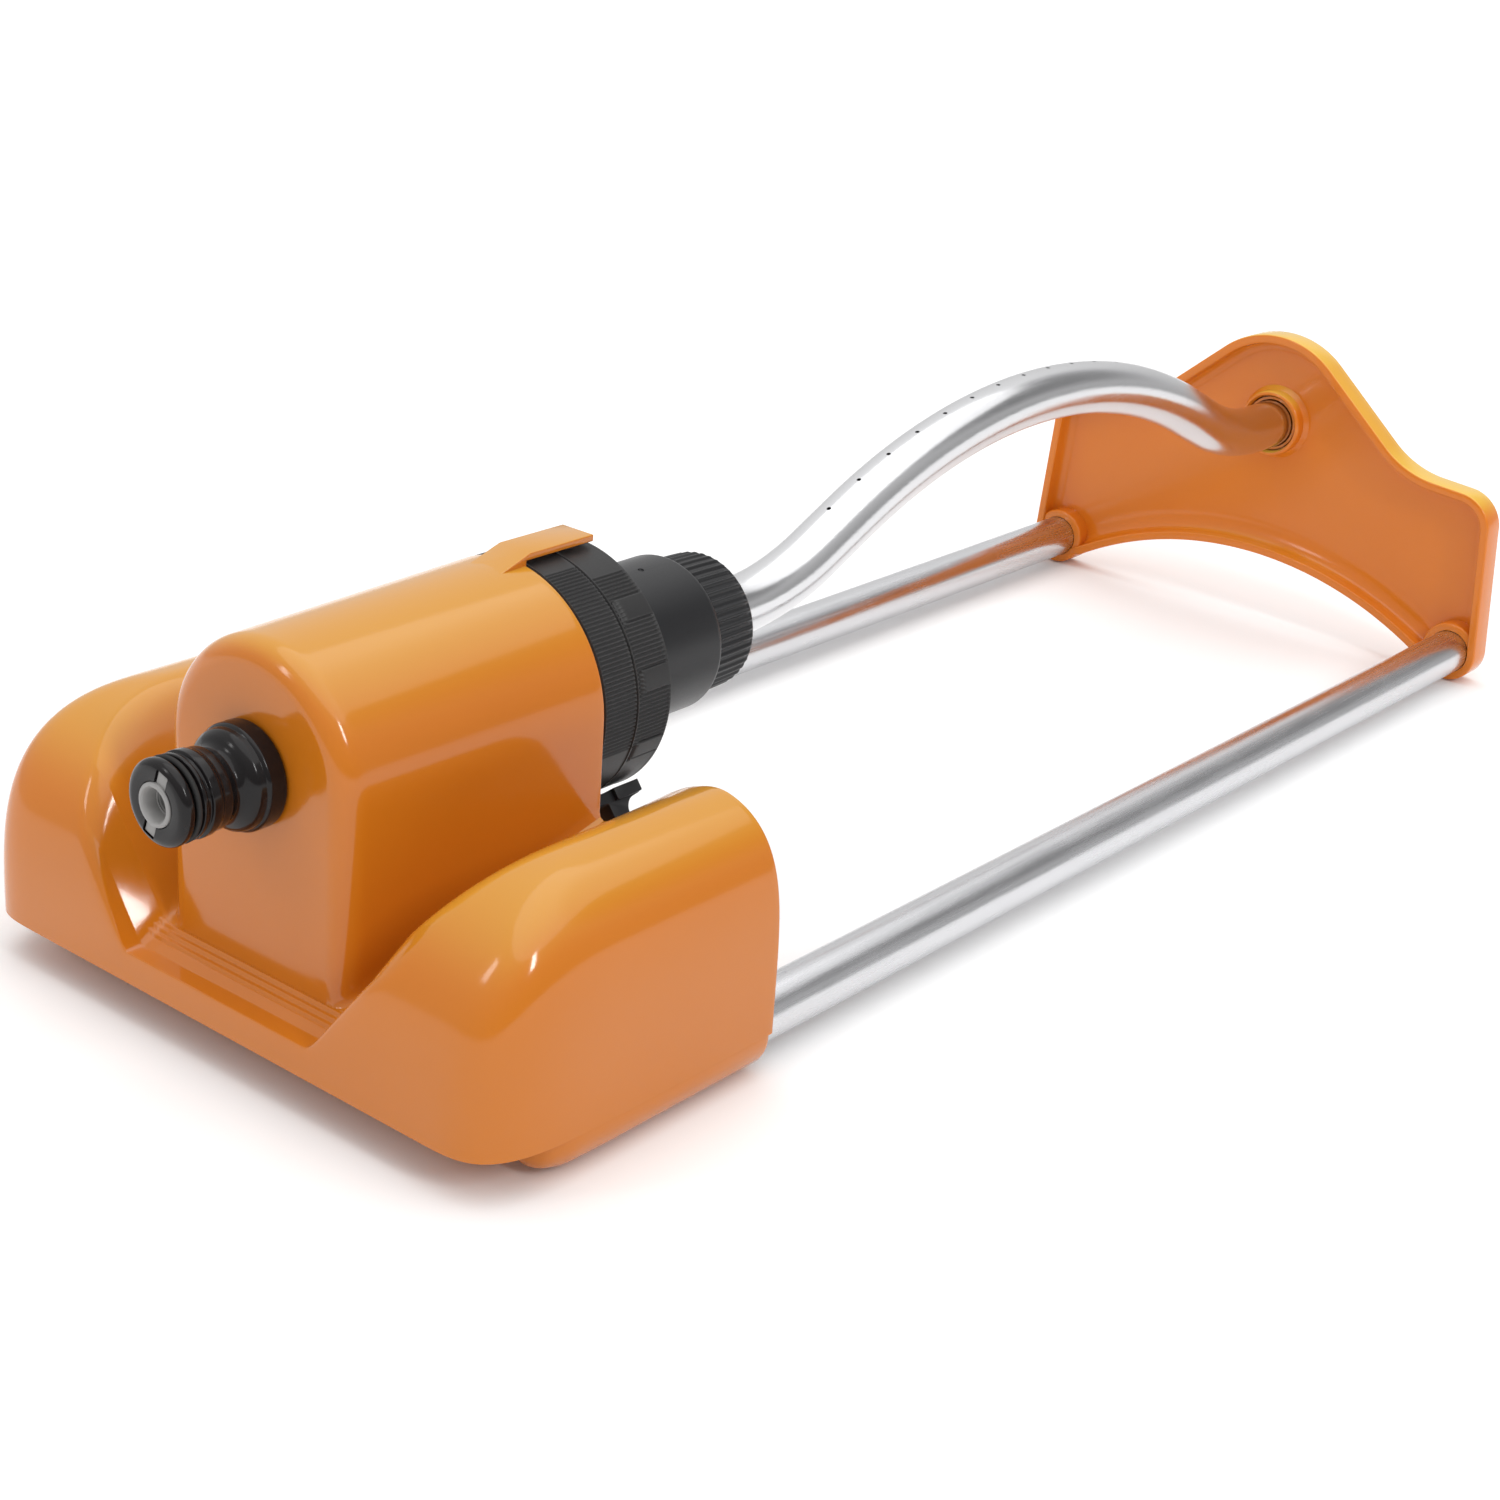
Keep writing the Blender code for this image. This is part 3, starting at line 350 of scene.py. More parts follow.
def add_math(tree, operation, *values, clamp=False):
    node = tree.nodes.new("ShaderNodeMath")
    node.operation = operation
    node.use_clamp = clamp
    for socket, value in zip(node.inputs, values):
        plug(tree, value, socket)
    return node.outputs[0]


def blend(tree, factor, a, b):
    """Mix two colours by a mask."""
    mix = tree.nodes.new("ShaderNodeMix")
    mix.data_type = "RGBA"
    for name, value in (("Factor", factor), ("A", a), ("B", b)):
        plug(tree, value, mix.inputs[name])
    return mix.outputs["Result"]


def map_range(tree, value, low, high, to_low=0.0, to_high=1.0, ease="LINEAR"):
    """Carry a value from one span to another."""
    node = tree.nodes.new("ShaderNodeMapRange")
    node.interpolation_type = ease
    plug(tree, value, node.inputs["Value"])
    for name, amount in zip(("From Min", "From Max", "To Min", "To Max"), (low, high, to_low, to_high)):
        node.inputs[name].default_value = amount
    return node.outputs["Result"]


def axis_value(tree, vector, name):
    """One of the X, Y and Z values of a vector."""
    split = tree.nodes.new("ShaderNodeSeparateXYZ")
    tree.links.new(vector, split.inputs["Vector"])
    return split.outputs[name]


def object_noise(tree, scale, stretch=(1.0, 1.0, 1.0), detail=3.0, rough=0.5):
    place = tree.nodes.new("ShaderNodeTexCoord")
    mapping = tree.nodes.new("ShaderNodeMapping")
    mapping.inputs["Scale"].default_value = stretch
    noise = tree.nodes.new("ShaderNodeTexNoise")
    noise.inputs["Detail"].default_value = detail
    noise.inputs["Roughness"].default_value = rough
    tree.links.new(place.outputs["Object"], mapping.inputs["Vector"])
    tree.links.new(mapping.outputs["Vector"], noise.inputs["Vector"])
    plug(tree, scale, noise.inputs["Scale"])
    return noise.outputs["Fac"]


def make_drift_group():
    """Slow colour variation: mixes a tint into the colour by large soft noise."""
    group, start, end = shader_group("colour_drift", [
        ("Color", "NodeSocketColor", (1, 1, 1, 1)), ("Tint", "NodeSocketColor", (1, 1, 1, 1)),
        ("Amount", "NodeSocketFloat", 0.3), ("Scale", "NodeSocketFloat", 30.0)],
        [("Color", "NodeSocketColor")])
    noise = object_noise(group, start.outputs["Scale"])
    share = add_math(group, "MULTIPLY", noise, start.outputs["Amount"], clamp=True)
    group.links.new(blend(group, share, start.outputs["Color"], start.outputs["Tint"]), end.inputs["Color"])
    return group


def make_wear_group():
    """Edges that catch wear: raised edges found from the surface's curvature and broken up by noise."""
    group, start, end = shader_group("edge_wear", [
        ("Start", "NodeSocketFloat", 0.52), ("Strength", "NodeSocketFloat", 6.0),
        ("Amount", "NodeSocketFloat", 0.3)], [("Mask", "NodeSocketFloat")])
    sight = group.nodes.new("ShaderNodeNewGeometry")
    lift = add_math(group, "SUBTRACT", sight.outputs["Pointiness"], start.outputs["Start"])
    lift = add_math(group, "MULTIPLY", lift, start.outputs["Strength"], clamp=True)
    noise = object_noise(group, 420.0, detail=4.0, rough=0.6)
    broken = add_math(group, "MULTIPLY", noise, 1.5, clamp=True)
    mask = add_math(group, "MULTIPLY", lift, broken, clamp=True)
    mask = add_math(group, "MULTIPLY", mask, start.outputs["Amount"], clamp=True)
    group.links.new(mask, end.inputs["Mask"])
    return group


def make_grain_group(name, stretch, detail):
    """Fine surface grain: a height for the bump and a mask for the roughness."""
    group, start, end = shader_group(name, [
        ("Scale", "NodeSocketFloat", 900.0), ("Waviness", "NodeSocketFloat", 0.3)],
        [("Height", "NodeSocketFloat"), ("Mask", "NodeSocketFloat")])
    fine = object_noise(group, start.outputs["Scale"], stretch, detail, 0.55)
    slow = object_noise(group, 34.0, (1.0, 1.0, 1.0), 2.0)
    wave = add_math(group, "MULTIPLY", slow, start.outputs["Waviness"])
    height = add_math(group, "ADD", fine, wave)
    mask = add_math(group, "MULTIPLY", add_math(group, "ADD", fine, slow), 0.5)
    group.links.new(height, end.inputs["Height"])
    group.links.new(mask, end.inputs["Mask"])
    return group


def make_top_light_group():
    """Painted top light: upward faces well above the ground take a paler, yellower colour, unevenly, painted
    in for the brighter light that falls on them.
    """
    group, start, end = shader_group("painted_top_light", [
        ("Color", "NodeSocketColor", (1, 1, 1, 1)), ("Painted Top Light", "NodeSocketColor", (1, 1, 1, 1))],
        [("Color", "NodeSocketColor")])
    sight = group.nodes.new("ShaderNodeNewGeometry")
    place = group.nodes.new("ShaderNodeTexCoord")
    # painted top light mask: faces turned upward, and high above the ground, get the paler colour as if lit
    # more brightly
    lift = map_range(group, axis_value(group, sight.outputs["Normal"], "Z"), 0.4, 0.99, ease="SMOOTHSTEP")
    rise = map_range(group, axis_value(group, place.outputs["Object"], "Z"), 0.018, 0.045)
    patchy = add_math(group, "MULTIPLY_ADD", object_noise(group, 26.0), 0.3, 0.85)
    share = add_math(group, "MULTIPLY", add_math(group, "MULTIPLY", lift, patchy), rise, clamp=True)
    group.links.new(blend(group, share, start.outputs["Color"], start.outputs["Painted Top Light"]), end.inputs["Color"])
    return group


DRIFT = make_drift_group()
TOP_LIGHT = make_top_light_group()
WEAR = make_wear_group()
MOULD_GRAIN = make_grain_group("mould_grain", (1.0, 1.0, 1.0), 3.0)
DRAWN_GRAIN = make_grain_group("drawn_grain", (0.035, 1.0, 1.0), 4.0)


def surface(slot, base, tint, rough, rough_spread, grain, grain_scale, grain_depth, metallic, waviness=0.3,
            wear=0.25, edge=(1, 1, 1), coat=0.0, specular=0.5, wear_start=0.52, faded=None):
    """A finished material: drifting colour, worn edges, an optional painted top light on upward faces, and
    grain in the roughness and the bump.
    """
    mat = bpy.data.materials.new(slot + "_finish")
    mat["slot"] = slot
    mat.use_nodes = True
    tree = mat.node_tree
    shader = tree.nodes["Principled BSDF"]
    shader.inputs["Metallic"].default_value = metallic
    shader.inputs["Specular IOR Level"].default_value = specular
    if coat:
        shader.inputs["Coat Weight"].default_value = coat
        shader.inputs["Coat Roughness"].default_value = 0.04

    def group_node(group):
        node = tree.nodes.new("ShaderNodeGroup")
        node.node_tree = group
        return node

    colour = group_node(DRIFT)
    colour.inputs["Color"].default_value = (*base, 1)
    colour.inputs["Tint"].default_value = (*tint, 1)
    colour.inputs["Amount"].default_value = 0.5
    worn = group_node(WEAR)
    worn.inputs["Amount"].default_value = wear
    worn.inputs["Start"].default_value = wear_start
    tone = colour.outputs["Color"]
    # Optional painted top light: upward faces are mixed towards a paler, yellower colour that stands in for
    # brighter lighting on them.
    if faded:
        top_light_node = group_node(TOP_LIGHT)
        top_light_node.inputs["Painted Top Light"].default_value = (*faded, 1)
        tree.links.new(tone, top_light_node.inputs["Color"])
        tone = top_light_node.outputs["Color"]
    tree.links.new(blend(tree, worn.outputs["Mask"], tone, (*edge, 1)), shader.inputs["Base Color"])
    skin = group_node(grain)
    skin.inputs["Scale"].default_value = grain_scale
    skin.inputs["Waviness"].default_value = waviness
    spread = map_range(tree, skin.outputs["Mask"], 0.3, 0.7, rough - rough_spread, rough + rough_spread)
    rougher = add_math(tree, "MULTIPLY_ADD", worn.outputs["Mask"], 0.25, spread)
    tree.links.new(rougher, shader.inputs["Roughness"])
    bump = tree.nodes.new("ShaderNodeBump")
    bump.inputs["Strength"].default_value = 1.0
    bump.inputs["Distance"].default_value = grain_depth
    tree.links.new(skin.outputs["Height"], bump.inputs["Height"])
    tree.links.new(bump.outputs["Normal"], shader.inputs["Normal"])
    return mat


def plastic(slot, base, tint, rough, rough_spread, grain_scale, grain_depth, **more):
    return surface(slot, base, tint, rough, rough_spread, MOULD_GRAIN, grain_scale, grain_depth, 0.0, **more)


def metal(slot, base, tint, rough, rough_spread, grain_scale, grain_depth, **more):
    return surface(slot, base, tint, rough, rough_spread, DRAWN_GRAIN, grain_scale, grain_depth, 1.0, **more)


FINISHES = [
    # The last colour of this finish is a painted top light, laid on its upward faces in place of brighter
    # lighting.
    plastic("orange_plastic", (0.56, 0.166, 0.0105), (0.505, 0.14, 0.006), 0.13, 0.035, 700.0, 0.0000025,
            waviness=1.2, wear=0.15, edge=(0.7, 0.28, 0.04), coat=0.15, specular=0.42,
            faded=(0.575, 0.258, 0.026)),
    plastic("orange_cover_plastic", (0.5, 0.14, 0.012), (0.46, 0.12, 0.01), 0.24, 0.05, 700.0, 0.000006,
            edge=(0.66, 0.25, 0.04)),
    # The last colour of this finish is a painted top light, laid on its upward faces in place of brighter
    # lighting.
    plastic("orange_plate_plastic", (0.69, 0.19, 0.012), (0.64, 0.155, 0.008), 0.17, 0.04, 700.0, 0.000003,
            waviness=1.0, wear=0.3, edge=(0.76, 0.34, 0.06), coat=0.1, specular=0.42,
            faded=(0.76, 0.47, 0.06)),
    plastic("black_nipple_plastic", (0.006, 0.005, 0.0055), (0.011, 0.009, 0.009), 0.17, 0.05, 1500.0,
            0.000004, wear=0.15, edge=(0.08, 0.08, 0.08), coat=0.04, specular=0.26),
    plastic("black_hub_plastic", (0.009, 0.009, 0.0105), (0.015, 0.015, 0.016), 0.36, 0.06, 2600.0, 0.00001,
            wear=0.35, edge=(0.06, 0.06, 0.06), specular=0.38),
    plastic("black_ring_plastic", (0.013, 0.0125, 0.013), (0.022, 0.021, 0.021), 0.44, 0.06, 2600.0, 0.00001,
            wear=0.8, edge=(0.1, 0.1, 0.1), specular=0.4, wear_start=0.5),
    plastic("grey_insert_plastic", (0.25, 0.245, 0.24), (0.3, 0.29, 0.28), 0.42, 0.06, 2200.0, 0.000008,
            wear=0.2, edge=(0.35, 0.35, 0.35)),
    plastic("motor_plastic", (0.05, 0.05, 0.054), (0.07, 0.07, 0.075), 0.4, 0.06, 2200.0, 0.000008,
            wear=0.2, edge=(0.2, 0.2, 0.2)),
    plastic("gear_plastic", (0.8, 0.79, 0.74), (0.72, 0.7, 0.63), 0.38, 0.06, 2200.0, 0.000006,
            wear=0.2, edge=(0.9, 0.9, 0.88)),
    plastic("seal_rubber", (0.018, 0.018, 0.018), (0.03, 0.029, 0.028), 0.72, 0.06, 3000.0, 0.000012,
            wear=0.1, edge=(0.06, 0.06, 0.06), specular=0.3),
    metal("tube_aluminium", (0.73, 0.73, 0.74), (0.63, 0.63, 0.65), 0.2, 0.06, 2600.0, 0.000012,
          waviness=1.4, wear=0.2, edge=(0.95, 0.95, 0.95)),
    metal("rail_aluminium", (0.68, 0.68, 0.695), (0.59, 0.59, 0.61), 0.26, 0.06, 2600.0, 0.000014,
          waviness=1.4, wear=0.2, edge=(0.95, 0.95, 0.95)),
    metal("pin_steel", (0.58, 0.57, 0.56), (0.5, 0.49, 0.48), 0.28, 0.07, 3000.0, 0.000006,
          wear=0.3, edge=(0.8, 0.8, 0.8)),
]
FINISH = {finish["slot"]: finish for finish in FINISHES}


# ---- base housing ----

def smooth_min(a, b, k):
    h = max(k - abs(a - b), 0.0) / k
    return min(a, b) - h * h * k / 4


def dome_radius(x, inset):
    part = (x - DOME_FRONT) / (BASE_BACK - DOME_FRONT)
    return DOME_R_FRONT + (DOME_R_BACK - DOME_R_FRONT) * part - inset


def stepped(ahead):
    """Three small steps close to the dome's foot, then an even fall to the front edge."""
    if ahead > STEPPED_SHARE:
        return ahead
    part = ahead / STEPPED_SHARE * 3
    step = min(int(part), 2)
    rise = min(max((part - step - 0.45) / 0.45, 0.0), 1.0)
    return (step + rise * rise * (3 - 2 * rise)) / 3 * STEPPED_SHARE


def wing_height(x, y, inset, foot):
    """Height of the housing surface beside the dome; inset moves it inwards by the wall."""
    front = BASE_FRONT + inset
    a = min(max((front + NOSE_LENGTH - x) / NOSE_LENGTH, 0.0), 1.0)
    b = min(max((y - WING_CREST_Y) / (BASE_HALF_W - inset - WING_CREST_Y), 0.0), 1.0)
    edge = (a ** 4 + b ** 4) ** 0.25
    share = a ** 4 / (a ** 4 + b ** 4) if edge > 0 else 0.0
    power = 5.0 - 2.1 * share
    top = BASE_LIP + (WING_TOP - inset - BASE_LIP) * max(1 - edge ** 2.2, 0.0) ** (1 / power)
    part = min(max((x - DOME_FRONT) / (BASE_BACK - DOME_FRONT), 0.0), 1.0)
    floor = SHELF_Z + (VALLEY_BACK_Z - SHELF_Z) * part ** 0.9
    ahead = min(max((DOME_FRONT - x) / (DOME_FRONT - SHELF_FRONT_X), 0.0), 1.0)
    slope = SLOPE_FRONT + (SLOPE_BACK - SLOPE_FRONT) * part
    reach = max(y - dome_radius(max(x, DOME_FRONT), 0.0), 0.0)
    fade = max(1.0 - reach / 2.0, 0.0) if inset < 1 else 0.0
    reach = math.hypot(reach, SHELF_CORNER) - SHELF_CORNER
    floor -= (SHELF_Z - SHELF_FRONT_Z) * (ahead + (stepped(ahead) - ahead) * fade)
    side = floor + slope * reach - inset * math.sqrt(1 + slope * slope)
    height = smooth_min(top, side, 6.0)
    height = max(height, BASE_LIP) if edge < 1 else BASE_LIP
    near = y - foot
    if x >= DOME_FRONT and near < FOOT_FILLET:
        height += FOOT_FILLET - math.sqrt(max(FOOT_FILLET ** 2 - (FOOT_FILLET - near) ** 2, 0.0))
    return height


def resample(points, count):
    lengths = [0.0]
    for p, q in zip(points, points[1:]):
        lengths.append(lengths[-1] + math.dist(p, q))
    out = []
    j = 0
    for k in range(count):
        want = lengths[-1] * k / (count - 1)
        while j < len(lengths) - 2 and lengths[j + 1] < want:
            j += 1
        span = lengths[j + 1] - lengths[j]
        t = (want - lengths[j]) / span if span > 1e-9 else 0.0
        out.append(tuple(a + (b - a) * t for a, b in zip(points[j], points[j + 1])))
    return out


def wing_row(x, inset, foot, count):
    front = BASE_FRONT + inset
    a = min(max((front + NOSE_LENGTH - x) / NOSE_LENGTH, 0.0), 1.0)
    wide = WING_CREST_Y + (BASE_HALF_W - inset - WING_CREST_Y) * (1 - a ** 4) ** 0.25
    fine = []
    for k in range(321):
        y = wide + (foot - wide) * (1 - math.cos(math.pi * k / 320)) / 2
        fine.append((x, y, wing_height(x, y, inset, foot)))
    return resample(fine, count)


def dome_row(x, inset, ease, count):
    """Half outline of the dome from its foot to the crown, drawn in by ease."""
    radius = dome_radius(x, inset) - ease
    foot = wing_height(x, radius, inset, radius)
    fine = [(x, radius, foot + (AXIS_Z - foot) * k / 20) for k in range(21)]
    for k in range(1, 61):
        turn = math.pi / 2 * k / 60
        fine.append((x, radius * math.cos(turn), AXIS_Z + radius * math.sin(turn)))
    return resample(fine, count)


def housing_rows(inset, back, wings, domes, noses, steps, lengths, arcs, back_r):
    front = BASE_FRONT + inset
    face = DOME_FRONT + inset
    shelf = SHELF_FRONT_X + inset
    round_r = DOME_EDGE_R - inset * 0.6
    small = dome_radius(face, inset) - round_r
    stations = [front + (shelf - front) * (k / noses) ** 2.2 for k in range(noses)]
    stations += [shelf + (face - shelf) * k / steps for k in range(steps + 1)]
    rows = []
    for x in stations:
        half = wing_row(x, inset, small, wings)
        level = half[-1][2]
        rows.append(half + [(x, small * (1 - t / (domes - 1)), level) for t in range(1, domes)])
    wing = wing_row(face, inset, small, wings)
    target = dome_row(face, inset, round_r, domes)
    flat = rows[-1][wings - 1:]
    for k in range(1, 6):
        t = k / 5
        rows.append(wing[:-1] + [tuple(a + (b - a) * t for a, b in zip(p, q)) for p, q in zip(flat, target)])
    for k in range(1, arcs + 1):
        turn = math.pi / 2 * k / arcs
        x = face + round_r * (1 - math.cos(turn))
        ease = round_r * (1 - math.sin(turn))
        foot = dome_radius(x, inset) - ease
        rows.append(wing_row(x, inset, foot, wings)[:-1] + dome_row(x, inset, ease, domes))
    start = face + round_r
    for k in range(1, lengths + 1):
        x = start + (back - back_r - start) * k / lengths
        rows.append(wing_row(x, inset, dome_radius(x, inset), wings)[:-1] + dome_row(x, inset, 0.0, domes))
    for k in range(1, 5 if back_r else 0):
        turn = math.pi / 2 * k / 4
        x = back - back_r * (1 - math.sin(turn))
        ease = back_r * (1 - math.cos(turn))
        rows.append(wing_row(x, inset + ease, dome_radius(x, inset + ease), wings)[:-1]
                    + dome_row(x, inset + ease, 0.0, domes))
    return rows


def moulded(rows, drop):
    """Lay a grid on the half rows, mirror it to the far side, and close it below and behind."""
    bm = bmesh.new()
    lines, points = len(rows), len(rows[0])
    bmesh.ops.create_grid(bm, x_segments=lines - 1, y_segments=points - 1, size=1.0)
    for vert in bm.verts:
        i = round((vert.co.x + 1) / 2 * (lines - 1))
        j = round((vert.co.y + 1) / 2 * (points - 1))
        vert.co = rows[i][j]
    bmesh.ops.mirror(bm, geom=bm.verts[:] + bm.edges[:] + bm.faces[:], matrix=Matrix.Identity(4),
                     merge_dist=0.002, axis="Y")
    bmesh.ops.remove_doubles(bm, verts=bm.verts, dist=0.002)
    bmesh.ops.dissolve_degenerate(bm, dist=FINE_MERGE, edges=bm.edges)
    bmesh.ops.recalc_face_normals(bm, faces=bm.faces)
    back = rows[-1][0][0]
    rim = [e for e in bm.edges if e.is_boundary]
    tail = [e for e in rim if all(v.co.x > back - 0.001 for v in e.verts)]
    tail_set = set(tail)
    rim = [e for e in rim if e not in tail_set]
    if drop:
        made = bmesh.ops.extrude_edge_only(bm, edges=rim)["geom"]
        low = [g for g in made if isinstance(g, bmesh.types.BMVert)]
        low_set = set(low)
        bmesh.ops.translate(bm, vec=(0.0, 0.0, -drop), verts=low)
        rim = [g for g in made if isinstance(g, bmesh.types.BMEdge) and all(v in low_set for v in g.verts)]
        tail += [e for e in bm.edges if e.is_boundary and e not in tail_set
                 and all(v.co.x > back - 0.001 for v in e.verts)]
    ends = [v for v in {v for e in rim for v in e.verts} if v.co.x > back - 0.001]
    bridge = bm.edges.new(ends)
    bmesh.ops.contextual_create(bm, geom=rim + [bridge])
    bmesh.ops.contextual_create(bm, geom=tail + [bridge])
    bmesh.ops.recalc_face_normals(bm, faces=bm.faces)
    return bm


def make_housing():
    outer = moulded(housing_rows(0.0, BASE_BACK, 84, 44, 26, 40, 52, 12, BACK_EDGE_R), 0.0)
    inner = moulded(housing_rows(SHELL_WALL, BASE_BACK - SHELL_WALL, 24, 20, 8, 4, 12, 5, 0.0), 5.0)
    inner = cut(inner, *[post(x, y, 4.0, COVER_TOP + GAP, 70.0) for x, y in SCREW_XY],
                *[rod(27.0, 95.0, SKID_CLEAR, side * RAIL_Y, RAIL_Z) for side in (1, -1)])
    low = HOOD_TOP - HOOD_THICK
    dome = AXIS_Z + DOME_R_BACK
    outline = [(HOOD_START - 3.0, dome - 3.0), (HOOD_START, dome - 0.7), (HOOD_FLAT, HOOD_TOP)]
    outline += [(HOOD_END, HOOD_TOP), (HOOD_END, low), (BASE_BACK, low), (BASE_BACK, dome - 3.0)]
    hood = slab(outline, -HOOD_HALF_W, HOOD_HALF_W, "y", 0.3, 3)
    body = join(outer, hood, make_skid(1), make_skid(-1))
    holes = [post(x, y, 1.9, 0.0, 26.0, 24) for x, y in SCREW_XY]
    holes += [rod(RAIL_START - GAP, 95.0, RAIL_R + GAP, side * RAIL_Y, RAIL_Z) for side in (1, -1)]
    holes += [rod(15.0, 40.0, NIPPLE_HOLE_R, steps=64), rod(80.0, 95.0, NECK_BORE_R, steps=96)]
    holes.append(about_axis(block(80.0, 95.0, -7.0, 7.0, -33.5, -15.0), LEVER_TURN))
    return cut(body, inner, *holes)


def make_skid(side):
    """Half-round runner under one wing, flat where it stands."""
    profile = [(SKID_START, 0.0, 0), (SKID_START, 3.8, 1.2), (SKID_START + 1.8, 6.7, 2.0),
               (SKID_START + 6.5, SKID_R - 0.22, 2.5), (SKID_START + 13.0, SKID_R - 0.06, 3.0),
               (SKID_START + 19.0, SKID_R, 3.0), (SKID_END, SKID_R, 2.2), (SKID_END, 0.0, 0)]
    skid = turned(soften(profile, False, 6), 96, side * RAIL_Y, RAIL_Z)
    return cut(skid, block(0.0, 120.0, -90.0, 90.0, -10.0, 0.0))


def make_base_cover():
    """Flat plate that closes the shell from below, with two saddles for the motor case."""
    half = [(87.4, 55.3), (87.2, 56.3), (86.4, 57.1), (85.4, COVER_HALF_W), (26.5, COVER_HALF_W),
            (26.5, 66.4), (26.2, 67.0), (25.6, 67.3)]
    for k in range(13):
        turn = math.radians(90 + 7.5 * k)
        half.append((22.0 + 6.4 * math.cos(turn), 60.9 + 6.4 * math.sin(turn)))
    plate = slab(half + [(x, -y) for x, y in reversed(half)], COVER_BOTTOM, COVER_TOP, "z", 0.25)
    body = join(plate, *[block(x, x + 2.0, -12.0, 12.0, COVER_TOP - 0.5, 45.0, 0.3) for x in (36.0, 72.0)])
    holes = [post(x, y, 1.9, 0.0, 20.0, 24) for x, y in SCREW_XY]
    return cut(body, *holes, rod(20.0, 88.0, 22.9, steps=72))


# ---- end plate ----

def arc(a, b, radius, start, end, count):
    """Points on an arc about (a, b) between two angles in degrees."""
    points = []
    for k in range(count + 1):
        turn = math.radians(start + (end - start) * k / count)
        points.append((a + radius * math.cos(turn), b + radius * math.sin(turn)))
    return points


def plate_half(inset):
    """Half of the end plate outline from the top centre down to the arch centre."""
    hollow_z = PLATE_SHOULDER_Z + PLATE_HOLLOW_R
    gap = math.hypot(PLATE_HOLLOW_Y, hollow_z - AXIS_Z)
    lean = math.degrees(math.atan2(hollow_z - AXIS_Z, PLATE_HOLLOW_Y))
    tangent = lean + math.degrees(math.acos((PLATE_TOP_R + PLATE_HOLLOW_R) / gap))
    points = arc(0.0, AXIS_Z, PLATE_TOP_R - inset, 90.0, tangent, 30)
    points += arc(PLATE_HOLLOW_Y, hollow_z, PLATE_HOLLOW_R + inset, tangent + 180.0, 264.0, 26)
    corner_y = PLATE_SIDE_TOP_Y - PLATE_CORNER_R
    corner_z = PLATE_SHOULDER_Z - PLATE_CORNER_R - 0.6
    points += arc(corner_y, corner_z, PLATE_CORNER_R - inset, 84.0, 0.0, 18)
    points += arc(RAIL_Y, RAIL_Z, SOCKET_R - inset, 2.0, -90.0, 14)
    points += arc(RAIL_Y, RAIL_Z, SOCKET_R - inset, -105.0, -150.0, 7)
    rise = ARCH_TOP - ARCH_FOOT_Z
    arch_r = (ARCH_HALF ** 2 + rise ** 2) / (2 * rise)
    reach = math.degrees(math.asin(ARCH_HALF / arch_r))
    deep = inset + max(inset - 2.6, 0.0) * 1.1
    points += arc(0.0, ARCH_TOP - arch_r, arch_r + deep, 90.0 - reach + inset * 0.8, 90.0, 44)
    return points


def plate_ring(x, inset):
    half = plate_half(inset)
    return [(x, y, z) for y, z in half] + [(x, -y, z) for y, z in reversed(half[1:-1])]


def make_end_plate():
    """Rimmed plate, lofted over its edge, lip, inner wall and floor, with rail sockets and a tube boss."""
    edge, lip, root, floor = 0.8, 0.55, 3.0, PLATE_BACK - PLATE_WALL
    stations = arc(PLATE_BACK - edge, edge, edge, 0.0, -90.0, 4)
    stations += arc(PLATE_FRONT + lip, lip, lip, -90.0, -180.0, 4)
    stations += arc(PLATE_FRONT + lip, PLATE_WALL - lip, lip, 180.0, 90.0, 4)
    stations += arc(floor - root, PLATE_WALL + 0.2 + root, root, -90.0, 0.0, 8)
    body = loft([plate_ring(x, inset) for x, inset in stations], False)
    keep = [turned(soften([(BOSS_FRONT, 0.0, 0), (BOSS_FRONT, BOSS_R, 1.3), (floor - 1.2, BOSS_R, 0),
                           (floor, BOSS_R + 1.2, 0), (floor + 0.5, BOSS_R + 1.2, 0), (floor + 0.5, 0.0, 0)],
                          False, 7), 96)]
    for side in (1, -1):
        keep.append(turned(soften([(PLATE_FRONT + 0.6, 0.0, 0), (PLATE_FRONT + 0.6, SOCKET_R - 0.1, 1.0),
                                   (floor + 0.6, SOCKET_R - 0.1, 0), (floor + 0.6, 0.0, 0)], False, 6),
                           72, side * RAIL_Y, RAIL_Z))
    body = join(body, *keep)
    bores = [turned(soften([(PLATE_FRONT - 2.0, 0.0, 0), (PLATE_FRONT - 2.0, TUBE_R + 3.2, 0),
                            (BOSS_FRONT + 0.2, TUBE_R + 1.7, 0), (BOSS_FRONT + 0.8, TUBE_R + 1.3, 0.4),
                            (floor, TUBE_R + 1.3, 0), (floor, 0.0, 0)], False, 4), 96)]
    bores.append(block(400.0, 420.0, -90.0, 90.0, -10.0, 0.0))
    for side in (1, -1):
        bores.append(rod(PLATE_FRONT - 2.0, RAIL_END + GAP, RAIL_R + 0.1, side * RAIL_Y, RAIL_Z, 64))
        bores.append(rod(405.0, 420.0, 1.9, side * RAIL_Y, RAIL_Z, 32))
        bores.append(rod(PLATE_BACK - 1.7, 420.0, 3.4, side * RAIL_Y, RAIL_Z, 48))
    return cut(body, *bores)


# ---- hose nipple, insert and seals ----

